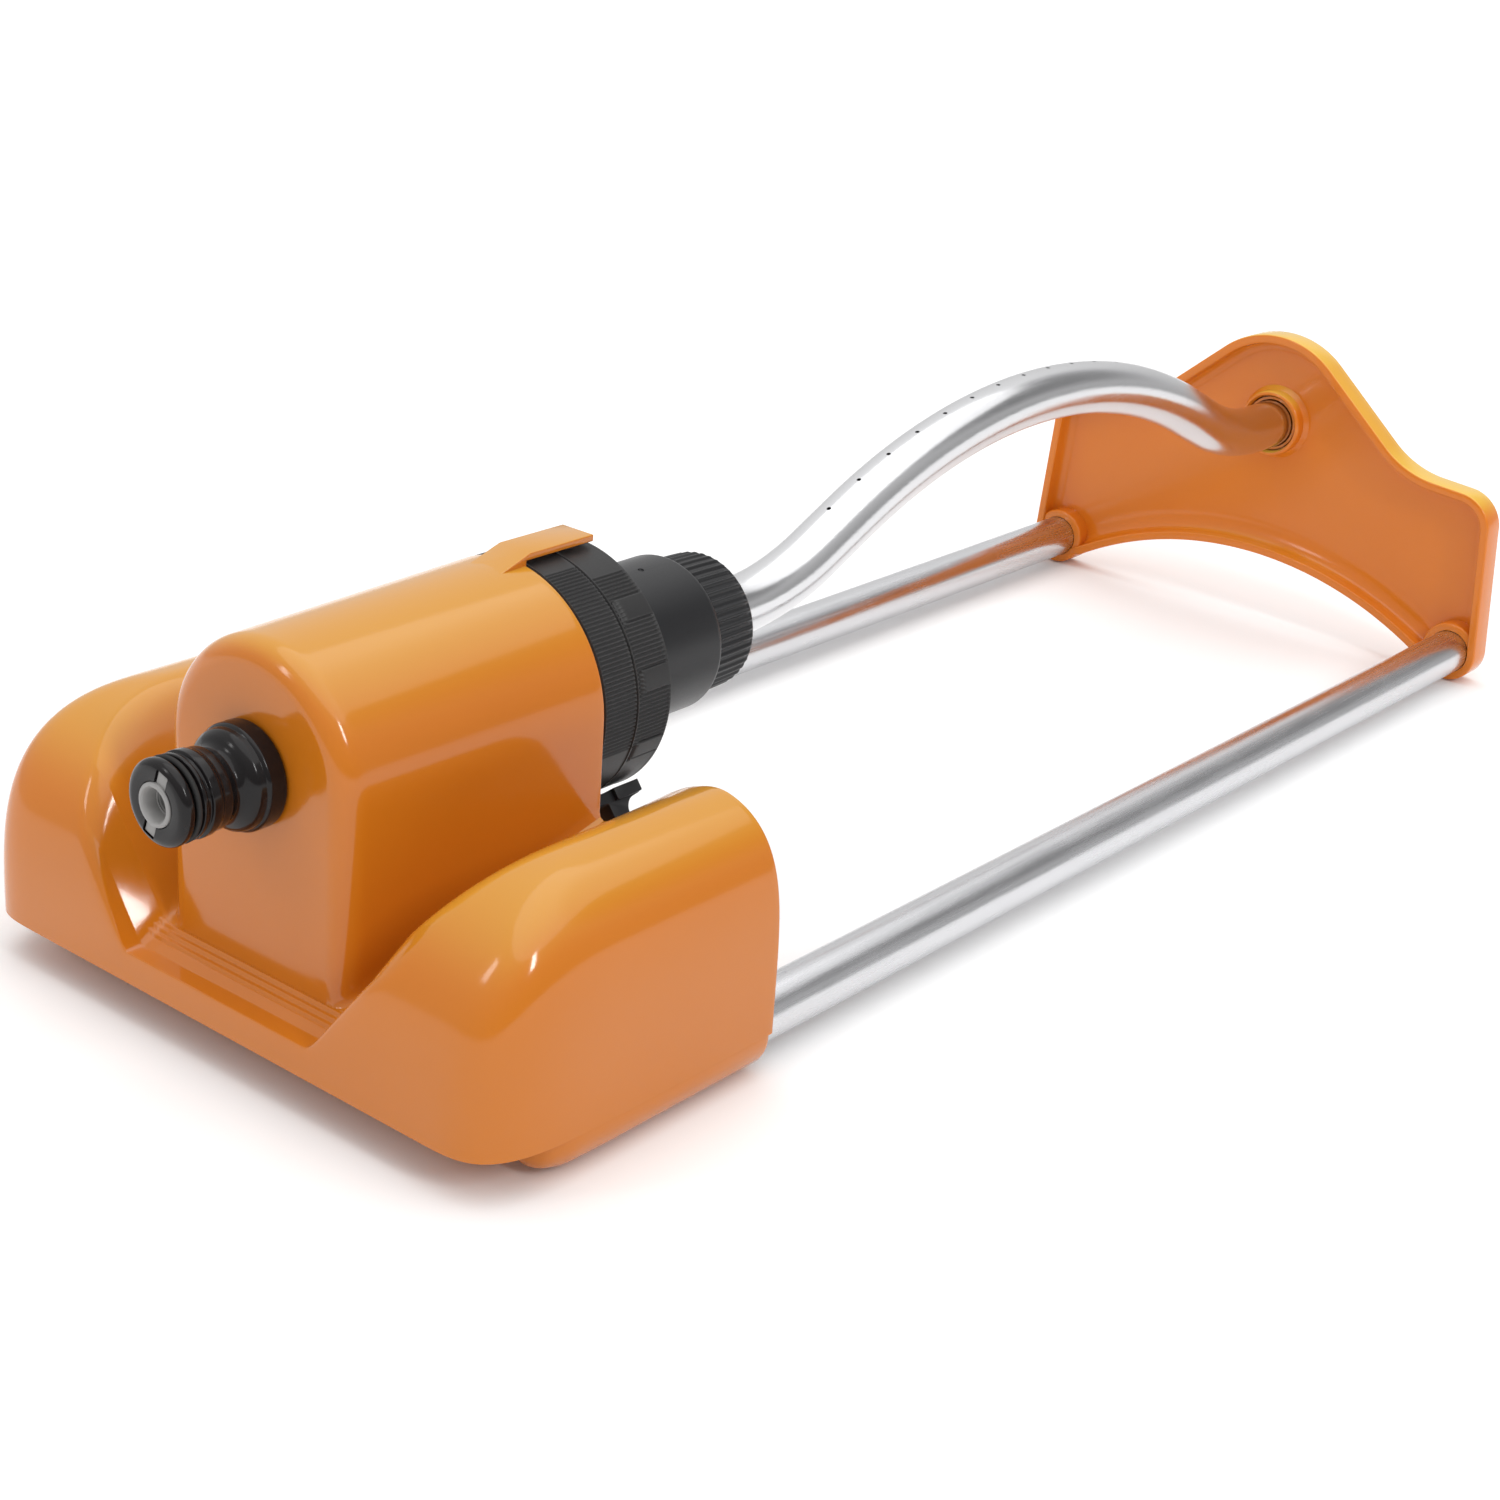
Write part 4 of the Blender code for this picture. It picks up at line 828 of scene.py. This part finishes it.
def make_nipple():
    bore = INSERT_R + 0.15
    profile = [(0.4, bore, 0.1), (0.35, 6.9, 1.0), (0.75, 7.9, 0.8), (1.5, 8.5, 0.7), (2.7, 8.5, 0.35),
               (3.1, 7.3, 0.15), (4.9, 7.3, 0.15), (5.2, 8.35, 0.25), (6.0, 8.3, 0.2), (6.25, 7.85, 0.15),
               (6.9, 7.85, 0.15),
               (7.15, 8.5, 0.2), (9.1, 8.45, 0.35), (9.8, 8.1, 0.3), (11.8, 8.1, 0.6), (12.8, 7.3, 0.5),
               (13.8, 7.1, 0.6), (14.7, 7.7, 0.5), (15.5, 9.1, 0.6), (16.6, 9.9, 0.5), (18.0, 10.05, 0.1),
               (18.15, 10.25, 0.1),
               (18.6, 10.6, 0.3), (22.0, 10.6, 0.4), (22.5, 10.3, 0.2), (22.5, 8.0, 0), (28.4, 8.0, 0.3),
               (28.4, 5.0, 0.2), (10.0, 5.0, 0), (10.0, bore, 0)]
    wide, tall = INSERT_ARM_HALF_W + 0.2, INSERT_ARM_R + 0.2
    slot = block(-1.0, 2.4, -wide, wide, -tall, tall, 0.3)
    return cut(turned(soften(profile), 112), about_axis(slot, INSERT_TURN))


def make_nipple_seal():
    profile = [(4.1 + 0.55 * math.cos(2 * math.pi * k / 20), 7.9 + 0.55 * math.sin(2 * math.pi * k / 20))
               for k in range(20)]
    return turned(profile, 96)


def make_insert():
    """Threaded sleeve held in the nipple's mouth by two arms."""
    sleeve = [(0.0, 0.0, 0), (0.0, INSERT_R, 0.45), (9.7, INSERT_R, 0.2), (9.7, 0.0, 0)]
    arms = block(0.7, 2.1, -INSERT_ARM_HALF_W, INSERT_ARM_HALF_W, -INSERT_ARM_R, INSERT_ARM_R, 0.25)
    bore = [(-0.5, 0.0, 0), (-0.5, 3.75, 0), (0.0, 3.6, 0), (0.35, 3.25, 0), (2.9, 2.75, 0), (3.0, 2.5, 0)]
    x = 3.0
    while x < 5.7:
        bore += [(x + 0.25, 2.72, 0), (x + 0.5, 2.4, 0)]
        x += 0.5
    bore += [(6.2, 3.4, 0), (12.0, 3.4, 0), (12.0, 0.0, 0)]
    body = join(turned(soften(sleeve, False), 96), about_axis(arms, INSERT_TURN))
    return cut(body, turned(soften(bore, False), 96))


# ---- rings, hub, nut and lever ----

def ring_turn(vert):
    return math.degrees(math.atan2(vert.co.z - AXIS_Z, vert.co.y)) % 360.0


def swell(value, low, high, blend):
    """One between low and high, easing to nought over blend outside them."""
    gap = max(low - value, value - high, 0.0)
    return max(1.0 - gap / blend, 0.0)


def make_ring(span, zones, x_span, pads=()):
    """Finger ring with fine grip ridges in angular zones, and smooth pads with a notch before each."""
    x0, x1 = span
    outer = [(x0, RING_R - 0.25, 0), (x0 + 0.12, RING_R, 0)]
    count = 26
    outer += [(x0 + 0.3 + (x1 - x0 - 0.6) * k / count, RING_R, 0) for k in range(count + 1)]
    outer += [(x1 - 0.12, RING_R, 0), (x1, RING_R - 0.25, 0)]
    profile = [(x0, RING_BORE)] + [(x, r) for x, r, _ in outer] + [(x1, RING_BORE)]
    bm = turned(profile, RING_RIDGES * 6, sectors=8)
    for vert in bm.verts:
        away = math.hypot(vert.co.y, vert.co.z - AXIS_Z)
        if away < RING_R - 0.3:
            continue
        turn = ring_turn(vert)
        along = swell(vert.co.x, x_span[0], x_span[1], 0.25)
        grip = max(swell(turn, low, high, 0.4) for low, high in zones) * along
        flat = 0.0
        notch = 0.0
        for low, high in pads:
            inside = swell(turn, low, high, 0.35)
            pad_x = swell(vert.co.x, x0 + 2.2, x1 - 0.5, 0.3)
            flat = max(flat, inside * pad_x)
            rim = swell(turn, low - 1.0, low - 0.55, 0.3) + swell(turn, high + 0.55, high + 1.0, 0.3)
            notch = max(notch, min(rim, 1.0) * pad_x)
            slit = swell(turn, low, high + 1.6, 0.3) * swell(vert.co.x, x0 + 0.9, x0 + 1.5, 0.25)
            notch = max(notch, slit * 1.5)
        wave = 0.5 - 0.5 * math.cos(math.radians(turn) * RING_RIDGES)
        drop = 0.36 * grip * (1 - flat) * min(1.4 * (1 - wave), 1.0)
        drop = max(drop, 0.42 * notch) + 0.1 * (1 - grip) * (1 - flat) * along
        scale = (away - drop) / away
        vert.co.y *= scale
        vert.co.z = AXIS_Z + (vert.co.z - AXIS_Z) * scale
    return bm


def make_hub():
    profile = [(67.0, 4.4, 0), (67.0, 6.5, 0.2), (91.2, 6.5, 0), (91.2, RING_BORE - GAP, 0.2),
               (109.7, RING_BORE - GAP, 0.1), (110.4, HUB_R + 0.2, 0.2), (111.0, HUB_R, 0.3),
               (HUB_BACK - 1.2, HUB_R, 0.8), (HUB_BACK - 0.2, HUB_R - 0.6, 0.5), (HUB_BACK, HUB_R - 1.8, 0.3),
               (HUB_BACK, 12.6, 0),
               (147.0, 12.6, 0.2), (147.0, TUBE_R + 0.4, 0), (122.0, TUBE_R + 0.4, 0), (122.0, 4.4, 0)]
    hub = turned(soften(profile), 128)
    dimple = bmesh.new()
    bmesh.ops.create_uvsphere(dimple, u_segments=20, v_segments=12, radius=0.75)
    bmesh.ops.translate(dimple, vec=(127.1, HUB_R + 0.15, 0.0), verts=dimple.verts)
    return cut(hub, about_axis(dimple, 97.6))


def make_nut():
    """Clamp nut with coarse grip ribs round it from the hub to its rounded back edge."""
    x_rib = NUT_FRONT + 0.2
    outer = [(NUT_FRONT, NUT_R_FRONT - 0.6), (x_rib, NUT_R_FRONT - 0.1)]
    for k in range(15):
        t = k / 14
        radius = NUT_R_FRONT + (NUT_R_BACK - NUT_R_FRONT) * t ** 2
        outer.append((x_rib + 0.2 + (NUT_BACK - 1.6 - x_rib) * t, radius))
    outer += [(NUT_BACK - 1.0, NUT_R_BACK - 0.12), (NUT_BACK - 0.55, NUT_R_BACK - 0.32),
              (NUT_BACK - 0.2, NUT_R_BACK - 0.65), (NUT_BACK, NUT_R_BACK - 1.1)]
    profile = [(NUT_FRONT, 13.0)] + outer + [(NUT_BACK, TUBE_R + 0.5), (149.4, TUBE_R + 0.5), (149.4, 13.0)]
    bm = turned(profile, NUT_RIBS * 12, sectors=NUT_RIBS)
    for vert in bm.verts:
        away = math.hypot(vert.co.y, vert.co.z - AXIS_Z)
        if away < 13.5:
            continue
        wave = 0.5 + 0.5 * math.cos(math.radians(ring_turn(vert)) * NUT_RIBS)
        fade = swell(vert.co.x, x_rib, NUT_BACK - 0.9, 0.6)
        scale = (away - 0.5 * fade * min(wave * 1.5, 1.0)) / away
        vert.co.y *= scale
        vert.co.z = AXIS_Z + (vert.co.z - AXIS_Z) * scale
    return bm


def make_lever():
    """Trip lever: a collar behind the housing with a forked finger hanging to one side."""
    collar = turned(soften([(88.2, 12.3, 0.2), (88.2, 16.5, 0.3), (89.7, 16.5, 0.3), (89.7, 12.3, 0.2)]), 96)
    side = soften([(88.3, -28.2, 0.2), (108.0, -28.2, 0.2), (109.0, -28.0, 0.2), (109.0, -30.7, 0.3),
                   (105.6, -31.1, 1.2), (104.0, -33.0, 1.0), (103.8, -37.5, 0.5), (99.6, -37.5, 0.5),
                   (99.5, -30.5, 0.6), (88.3, -30.4, 0.3)], True, 4)
    finger = slab(side, -2.5, 2.5, "y", 0.25)
    step = soften([(101.6, -28.05, 0.1), (108.9, -28.05, 0.1), (108.9, -30.6, 0.4), (101.6, -30.7, 0.4)])
    shoulder = slab(step, -3.6, 3.6, "y", 0.2)
    web = block(88.2, 89.7, -2.5, 2.5, -30.3, -15.0, 0.2)
    arms = [about_axis(part, LEVER_TURN) for part in (finger, shoulder, web)]
    return join(collar, *arms)


# ---- tubes ----

def arm_path(samples):
    """Centre line of the spray tube as (x, height above the swing axis, slope)."""
    half = []
    reach = (END_BEND_R + CREST_BEND_R) * math.sin(RISE_ANGLE) + STRAIGHT * math.cos(RISE_ANGLE)
    for k in range(samples + 1):
        turn = RISE_ANGLE * k / samples
        half.append((END_BEND_R * math.sin(turn), END_BEND_R * (1 - math.cos(turn)), turn))
    top = (END_BEND_R + CREST_BEND_R) * (1 - math.cos(RISE_ANGLE)) + STRAIGHT * math.sin(RISE_ANGLE)
    for k in range(2 * samples + 1):
        turn = RISE_ANGLE * (1 - k / (2 * samples))
        half.append((reach - CREST_BEND_R * math.sin(turn), top - CREST_BEND_R * (1 - math.cos(turn)), turn))
    path = [(TUBE_START, 0.0, 0.0)]
    flat = 1.0 - CREST_DROP / top
    path += [(ARM_MID - reach + x, h * flat, t) for x, h, t in half]
    path += [(ARM_MID + reach - x, h * flat, -t) for x, h, t in reversed(half[:-1])]
    path.append((TUBE_END, 0.0, 0.0))
    return path


def tube_ring(x, h, slope, radius, steps):
    points = []
    for k in range(steps):
        turn = 2 * math.pi * k / steps
        up = radius * math.sin(turn)
        points.append((x - up * math.sin(slope), radius * math.cos(turn), AXIS_Z + h + up * math.cos(slope)))
    return points


def crest_height(x):
    path = arm_path(24)
    for (x0, h0, _), (x1, h1, _) in zip(path, path[1:]):
        if x0 <= x <= x1:
            return h0 + (h1 - h0) * (x - x0) / (x1 - x0)
    return 0.0


def make_spray_tube():
    path = arm_path(16)
    outside = [tube_ring(*point, TUBE_R, 64) for point in path]
    inside = [tube_ring(*point, TUBE_R - TUBE_WALL, 64) for point in reversed(path)]
    body = loft(outside + inside + outside[:1], True)
    drills = [post(0.0, 0.0, HOLE_R, 0.0, 12.0, 16) for _ in range(HOLE_COUNT)]
    for k, drill in enumerate(drills):
        x = ARM_MID + HOLE_SHIFT + HOLE_PITCH * (k - (HOLE_COUNT - 1) / 2)
        lean = max(min(math.asin((ARM_MID - x) / CREST_BEND_R), RISE_ANGLE), -RISE_ANGLE)
        move = Matrix.Translation((x, 0.0, AXIS_Z + crest_height(x))) @ Matrix.Rotation(-lean, 4, "Y")
        bmesh.ops.transform(drill, matrix=move, verts=drill.verts)
    return cut(body, *drills)


def make_rail(side):
    profile = [(RAIL_START, RAIL_R - RAIL_WALL, 0), (RAIL_START, RAIL_R, 0.2)]
    profile += [(x, RAIL_R, 0) for x in range(48, 408, 12)]
    profile += [(RAIL_END, RAIL_R, 0.2), (RAIL_END, RAIL_R - RAIL_WALL, 0)]
    return turned(soften(profile), 64, side * RAIL_Y, RAIL_Z)


# ---- screws ----

def cross_recess(x0, x1, y, z):
    """The two bars of a screwdriver cross."""
    return [block(x0, x1, y - wide, y + wide, z - tall, z + tall) for wide, tall in ((1.7, 0.3), (0.3, 1.7))]


def make_cover_screw(x, y):
    head = COVER_BOTTOM - GAP
    profile = soften([(head - 2.0, 0.0, 0), (head - 2.0, 2.2, 0.6), (head - 1.2, 3.2, 0.6), (head, 3.2, 0.15),
                      (head, 1.5, 0), (24.0, 1.5, 0), (25.0, 0.0, 0)], False)
    bm = turned(profile, 48, 0.0, 0.0)
    bm = cut(bm, *cross_recess(head - 3.0, head - 0.9, 0.0, 0.0))
    turn = Matrix.Translation((x, y, 0.0)) @ Matrix.Rotation(math.radians(-90), 4, "Y")
    bmesh.ops.transform(bm, matrix=turn, verts=bm.verts)
    return bm


def make_plate_screw(side):
    x = PLATE_BACK - 0.1
    profile = soften([(x - 14.0, 0.0, 0), (x - 13.0, 1.5, 0.3), (x - 1.3, 1.5, 0), (x - 1.3, 3.1, 0.15),
                      (x - 0.5, 3.1, 0.4), (x, 2.3, 0.5), (x, 0.0, 0)], False)
    screw = turned(profile, 48, side * RAIL_Y, RAIL_Z)
    return cut(screw, *cross_recess(x - 0.9, x + 2.0, side * RAIL_Y, RAIL_Z))


# ---- assembly ----

PIECES = [
    ("housing_moulding", make_housing(), "orange_plastic", "base", "housing_shell", 40.0),
    ("base_cover_moulding", make_base_cover(), "orange_cover_plastic", "base", "base_cover", 38.0),
    ("end_plate_moulding", make_end_plate(), "orange_plate_plastic", "base", "end_plate", 38.0),
    ("hose_nipple_turning", make_nipple(), "black_nipple_plastic", "base", "hose_nipple", 50.0),
    ("nipple_seal_ring", make_nipple_seal(), "seal_rubber", "base", "nipple_seal", 80.0),
    ("inlet_insert_moulding", make_insert(), "grey_insert_plastic", "base", "inlet_insert", 38.0),
    ("arm_hub_turning", make_hub(), "black_hub_plastic", "spray_arm", "arm_hub", 45.0),
    ("clamp_nut_moulding", make_nut(), "black_hub_plastic", "spray_arm", "clamp_nut", 50.0),
    ("front_ring_moulding", make_ring(RING_1, RING_1_GRIPS, (90.8, 99.4)), "black_ring_plastic",
     "front_ring", "range_ring_front", 60.0),
    ("rear_ring_moulding", make_ring(RING_2, RING_2_GRIPS, (100.5, 109.4), RING_2_PADS), "black_ring_plastic",
     "rear_ring", "range_ring_rear", 60.0),
    ("trip_lever_moulding", make_lever(), "black_hub_plastic", "lever", "trip_lever", 38.0),
    ("spray_tube_bent", make_spray_tube(), "tube_aluminium", "spray_arm", "spray_tube", 45.0),
]
for side, hand in ((1, "left"), (-1, "right")):
    PIECES.append((f"rail_{hand}_drawn", make_rail(side), "rail_aluminium", "base", f"rail_{hand}", 45.0))
    PIECES.append((f"plate_screw_{hand}_head", make_plate_screw(side), "pin_steel", "base",
                   f"plate_screw_{hand}", 38.0))
for index, (x, y) in enumerate(SCREW_XY, 1):
    PIECES.append((f"cover_screw_{index}_head", make_cover_screw(x, y), "pin_steel", "base",
                   f"cover_screw_{index}", 38.0))
for piece in PIECES:
    settle(*piece)

CARRIED = {
    "inlet_filter": "grey_insert_plastic", "motor_case": "motor_plastic", "motor_cap": "motor_plastic",
    "rail_plug_left": "motor_plastic", "rail_plug_right": "motor_plastic", "tube_end_plug": "motor_plastic",
    "nozzle_plate": "gear_plastic", "gear_plate": "gear_plastic", "pivot_bush": "orange_plate_plastic",
    "reverser_flap": "gear_plastic", "turbine_wheel": "gear_plastic", "gear_first": "gear_plastic",
    "gear_second": "gear_plastic", "gear_third": "gear_plastic", "output_gear": "gear_plastic",
    "shaft_seal": "seal_rubber", "tube_seal": "seal_rubber", "centre_pin": "pin_steel",
    "lay_pin": "pin_steel",
}
for node, slot in CARRIED.items():
    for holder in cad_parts[node].material_slots:
        holder.material = FINISH[slot]


# ---- studio ----

def make_floor():
    bm = bmesh.new()
    bmesh.ops.create_grid(bm, x_segments=2, y_segments=2, size=6.0)
    mesh = bpy.data.meshes.new("studio_floor")
    bm.to_mesh(mesh)
    bm.free()
    mat = bpy.data.materials.new("floor_paper")
    mat.use_nodes = True
    tree = mat.node_tree
    shader = tree.nodes["Principled BSDF"]
    shader.inputs["Roughness"].default_value = 0.9
    shader.inputs["Specular IOR Level"].default_value = 0.1
    shade = blend(tree, object_noise(tree, 6.0), (0.93, 0.93, 0.93, 1), (0.95, 0.95, 0.95, 1))
    tree.links.new(shade, shader.inputs["Base Color"])
    mesh.materials.append(mat)
    floor = bpy.data.objects.new("studio_floor", mesh)
    floor.location = (0.0, 0.0, -0.0005)
    bpy.context.collection.objects.link(floor)


def softbox(name, spot, power, wide=0.16, tall=0.42, target=(-0.1, 0.0, 0.05)):
    lamp = bpy.data.lights.new(name, "AREA")
    lamp.shape = "RECTANGLE"
    lamp.size = wide
    lamp.size_y = tall
    lamp.energy = power
    obj = bpy.data.objects.new(name, lamp)
    bpy.context.collection.objects.link(obj)
    obj.location = spot
    obj.rotation_euler = (Vector(target) - Vector(spot)).to_track_quat("-Z", "Y").to_euler()


CAMERA = {"yaw": 0.666191, "pitch": -0.397873, "roll": 0.071063, "lens": 62.3319,
          "spot": (-0.473013, -0.344661, 0.256420)}


def make_camera():
    yaw, pitch, roll = CAMERA["yaw"], CAMERA["pitch"], CAMERA["roll"]
    ahead = Vector((math.cos(pitch) * math.cos(yaw), math.cos(pitch) * math.sin(yaw), math.sin(pitch)))
    right = ahead.cross(Vector((0, 0, 1))).normalized()
    up = right.cross(ahead)
    side = math.cos(roll) * right + math.sin(roll) * up
    top = -math.sin(roll) * right + math.cos(roll) * up
    lens = bpy.data.cameras.new("studio_camera")
    lens.sensor_width = 36.0
    lens.lens = CAMERA["lens"]
    lens.clip_start = 0.01
    camera = bpy.data.objects.new("studio_camera", lens)
    bpy.context.collection.objects.link(camera)
    x, y, z = CAMERA["spot"]
    camera.matrix_world = Matrix(((side.x, top.x, -ahead.x, x), (side.y, top.y, -ahead.y, y),
                                  (side.z, top.z, -ahead.z, z), (0, 0, 0, 1)))
    bpy.context.scene.camera = camera


make_floor()
make_camera()
softbox("front_softbox", (-0.35, -1.3, 1.0), 5.5)
softbox("left_softbox", (-1.2, 0.5, 0.9), 1.3, tall=0.4)


def make_sky():
    """A tent of soft light: brighter overhead and to the left, dim at the horizon, with a dark opening."""
    lamp = bpy.data.lights.new("tent_top", "SUN")
    lamp.energy = 1.4
    lamp.angle = math.radians(80.0)
    top = bpy.data.objects.new("tent_top", lamp)
    bpy.context.collection.objects.link(top)
    top.rotation_euler = (math.radians(8.0), math.radians(8.0), 0.0)
    world = bpy.data.worlds.new("studio_world")
    world.use_nodes = True
    tree = world.node_tree
    back = tree.nodes["Background"]
    back.inputs["Color"].default_value = (1, 1, 1, 1)
    place = tree.nodes.new("ShaderNodeTexCoord")
    sky = place.outputs["Generated"]
    ramp = map_range(tree, axis_value(tree, sky, "Z"), 0.0, 0.75, 0.5, 0.88)
    sideways = add_math(tree, "MULTIPLY", axis_value(tree, sky, "Y"), 0.22)
    turn = add_math(tree, "MULTIPLY_ADD", axis_value(tree, sky, "X"), 0.06, sideways)
    toward = tree.nodes.new("ShaderNodeVectorMath")
    toward.operation = "DOT_PRODUCT"
    toward.inputs[1].default_value = Vector((0.74, -0.3, 0.6)).normalized()
    tree.links.new(sky, toward.inputs[0])
    opening = map_range(tree, toward.outputs["Value"], 0.87, 0.98, 1.0, 0.38, ease="SMOOTHSTEP")
    glow = add_math(tree, "MULTIPLY", add_math(tree, "ADD", ramp, turn), opening)
    tree.links.new(glow, back.inputs["Strength"])
    bpy.context.scene.world = world


make_sky()
bpy.context.scene.view_settings.view_transform = "Standard"
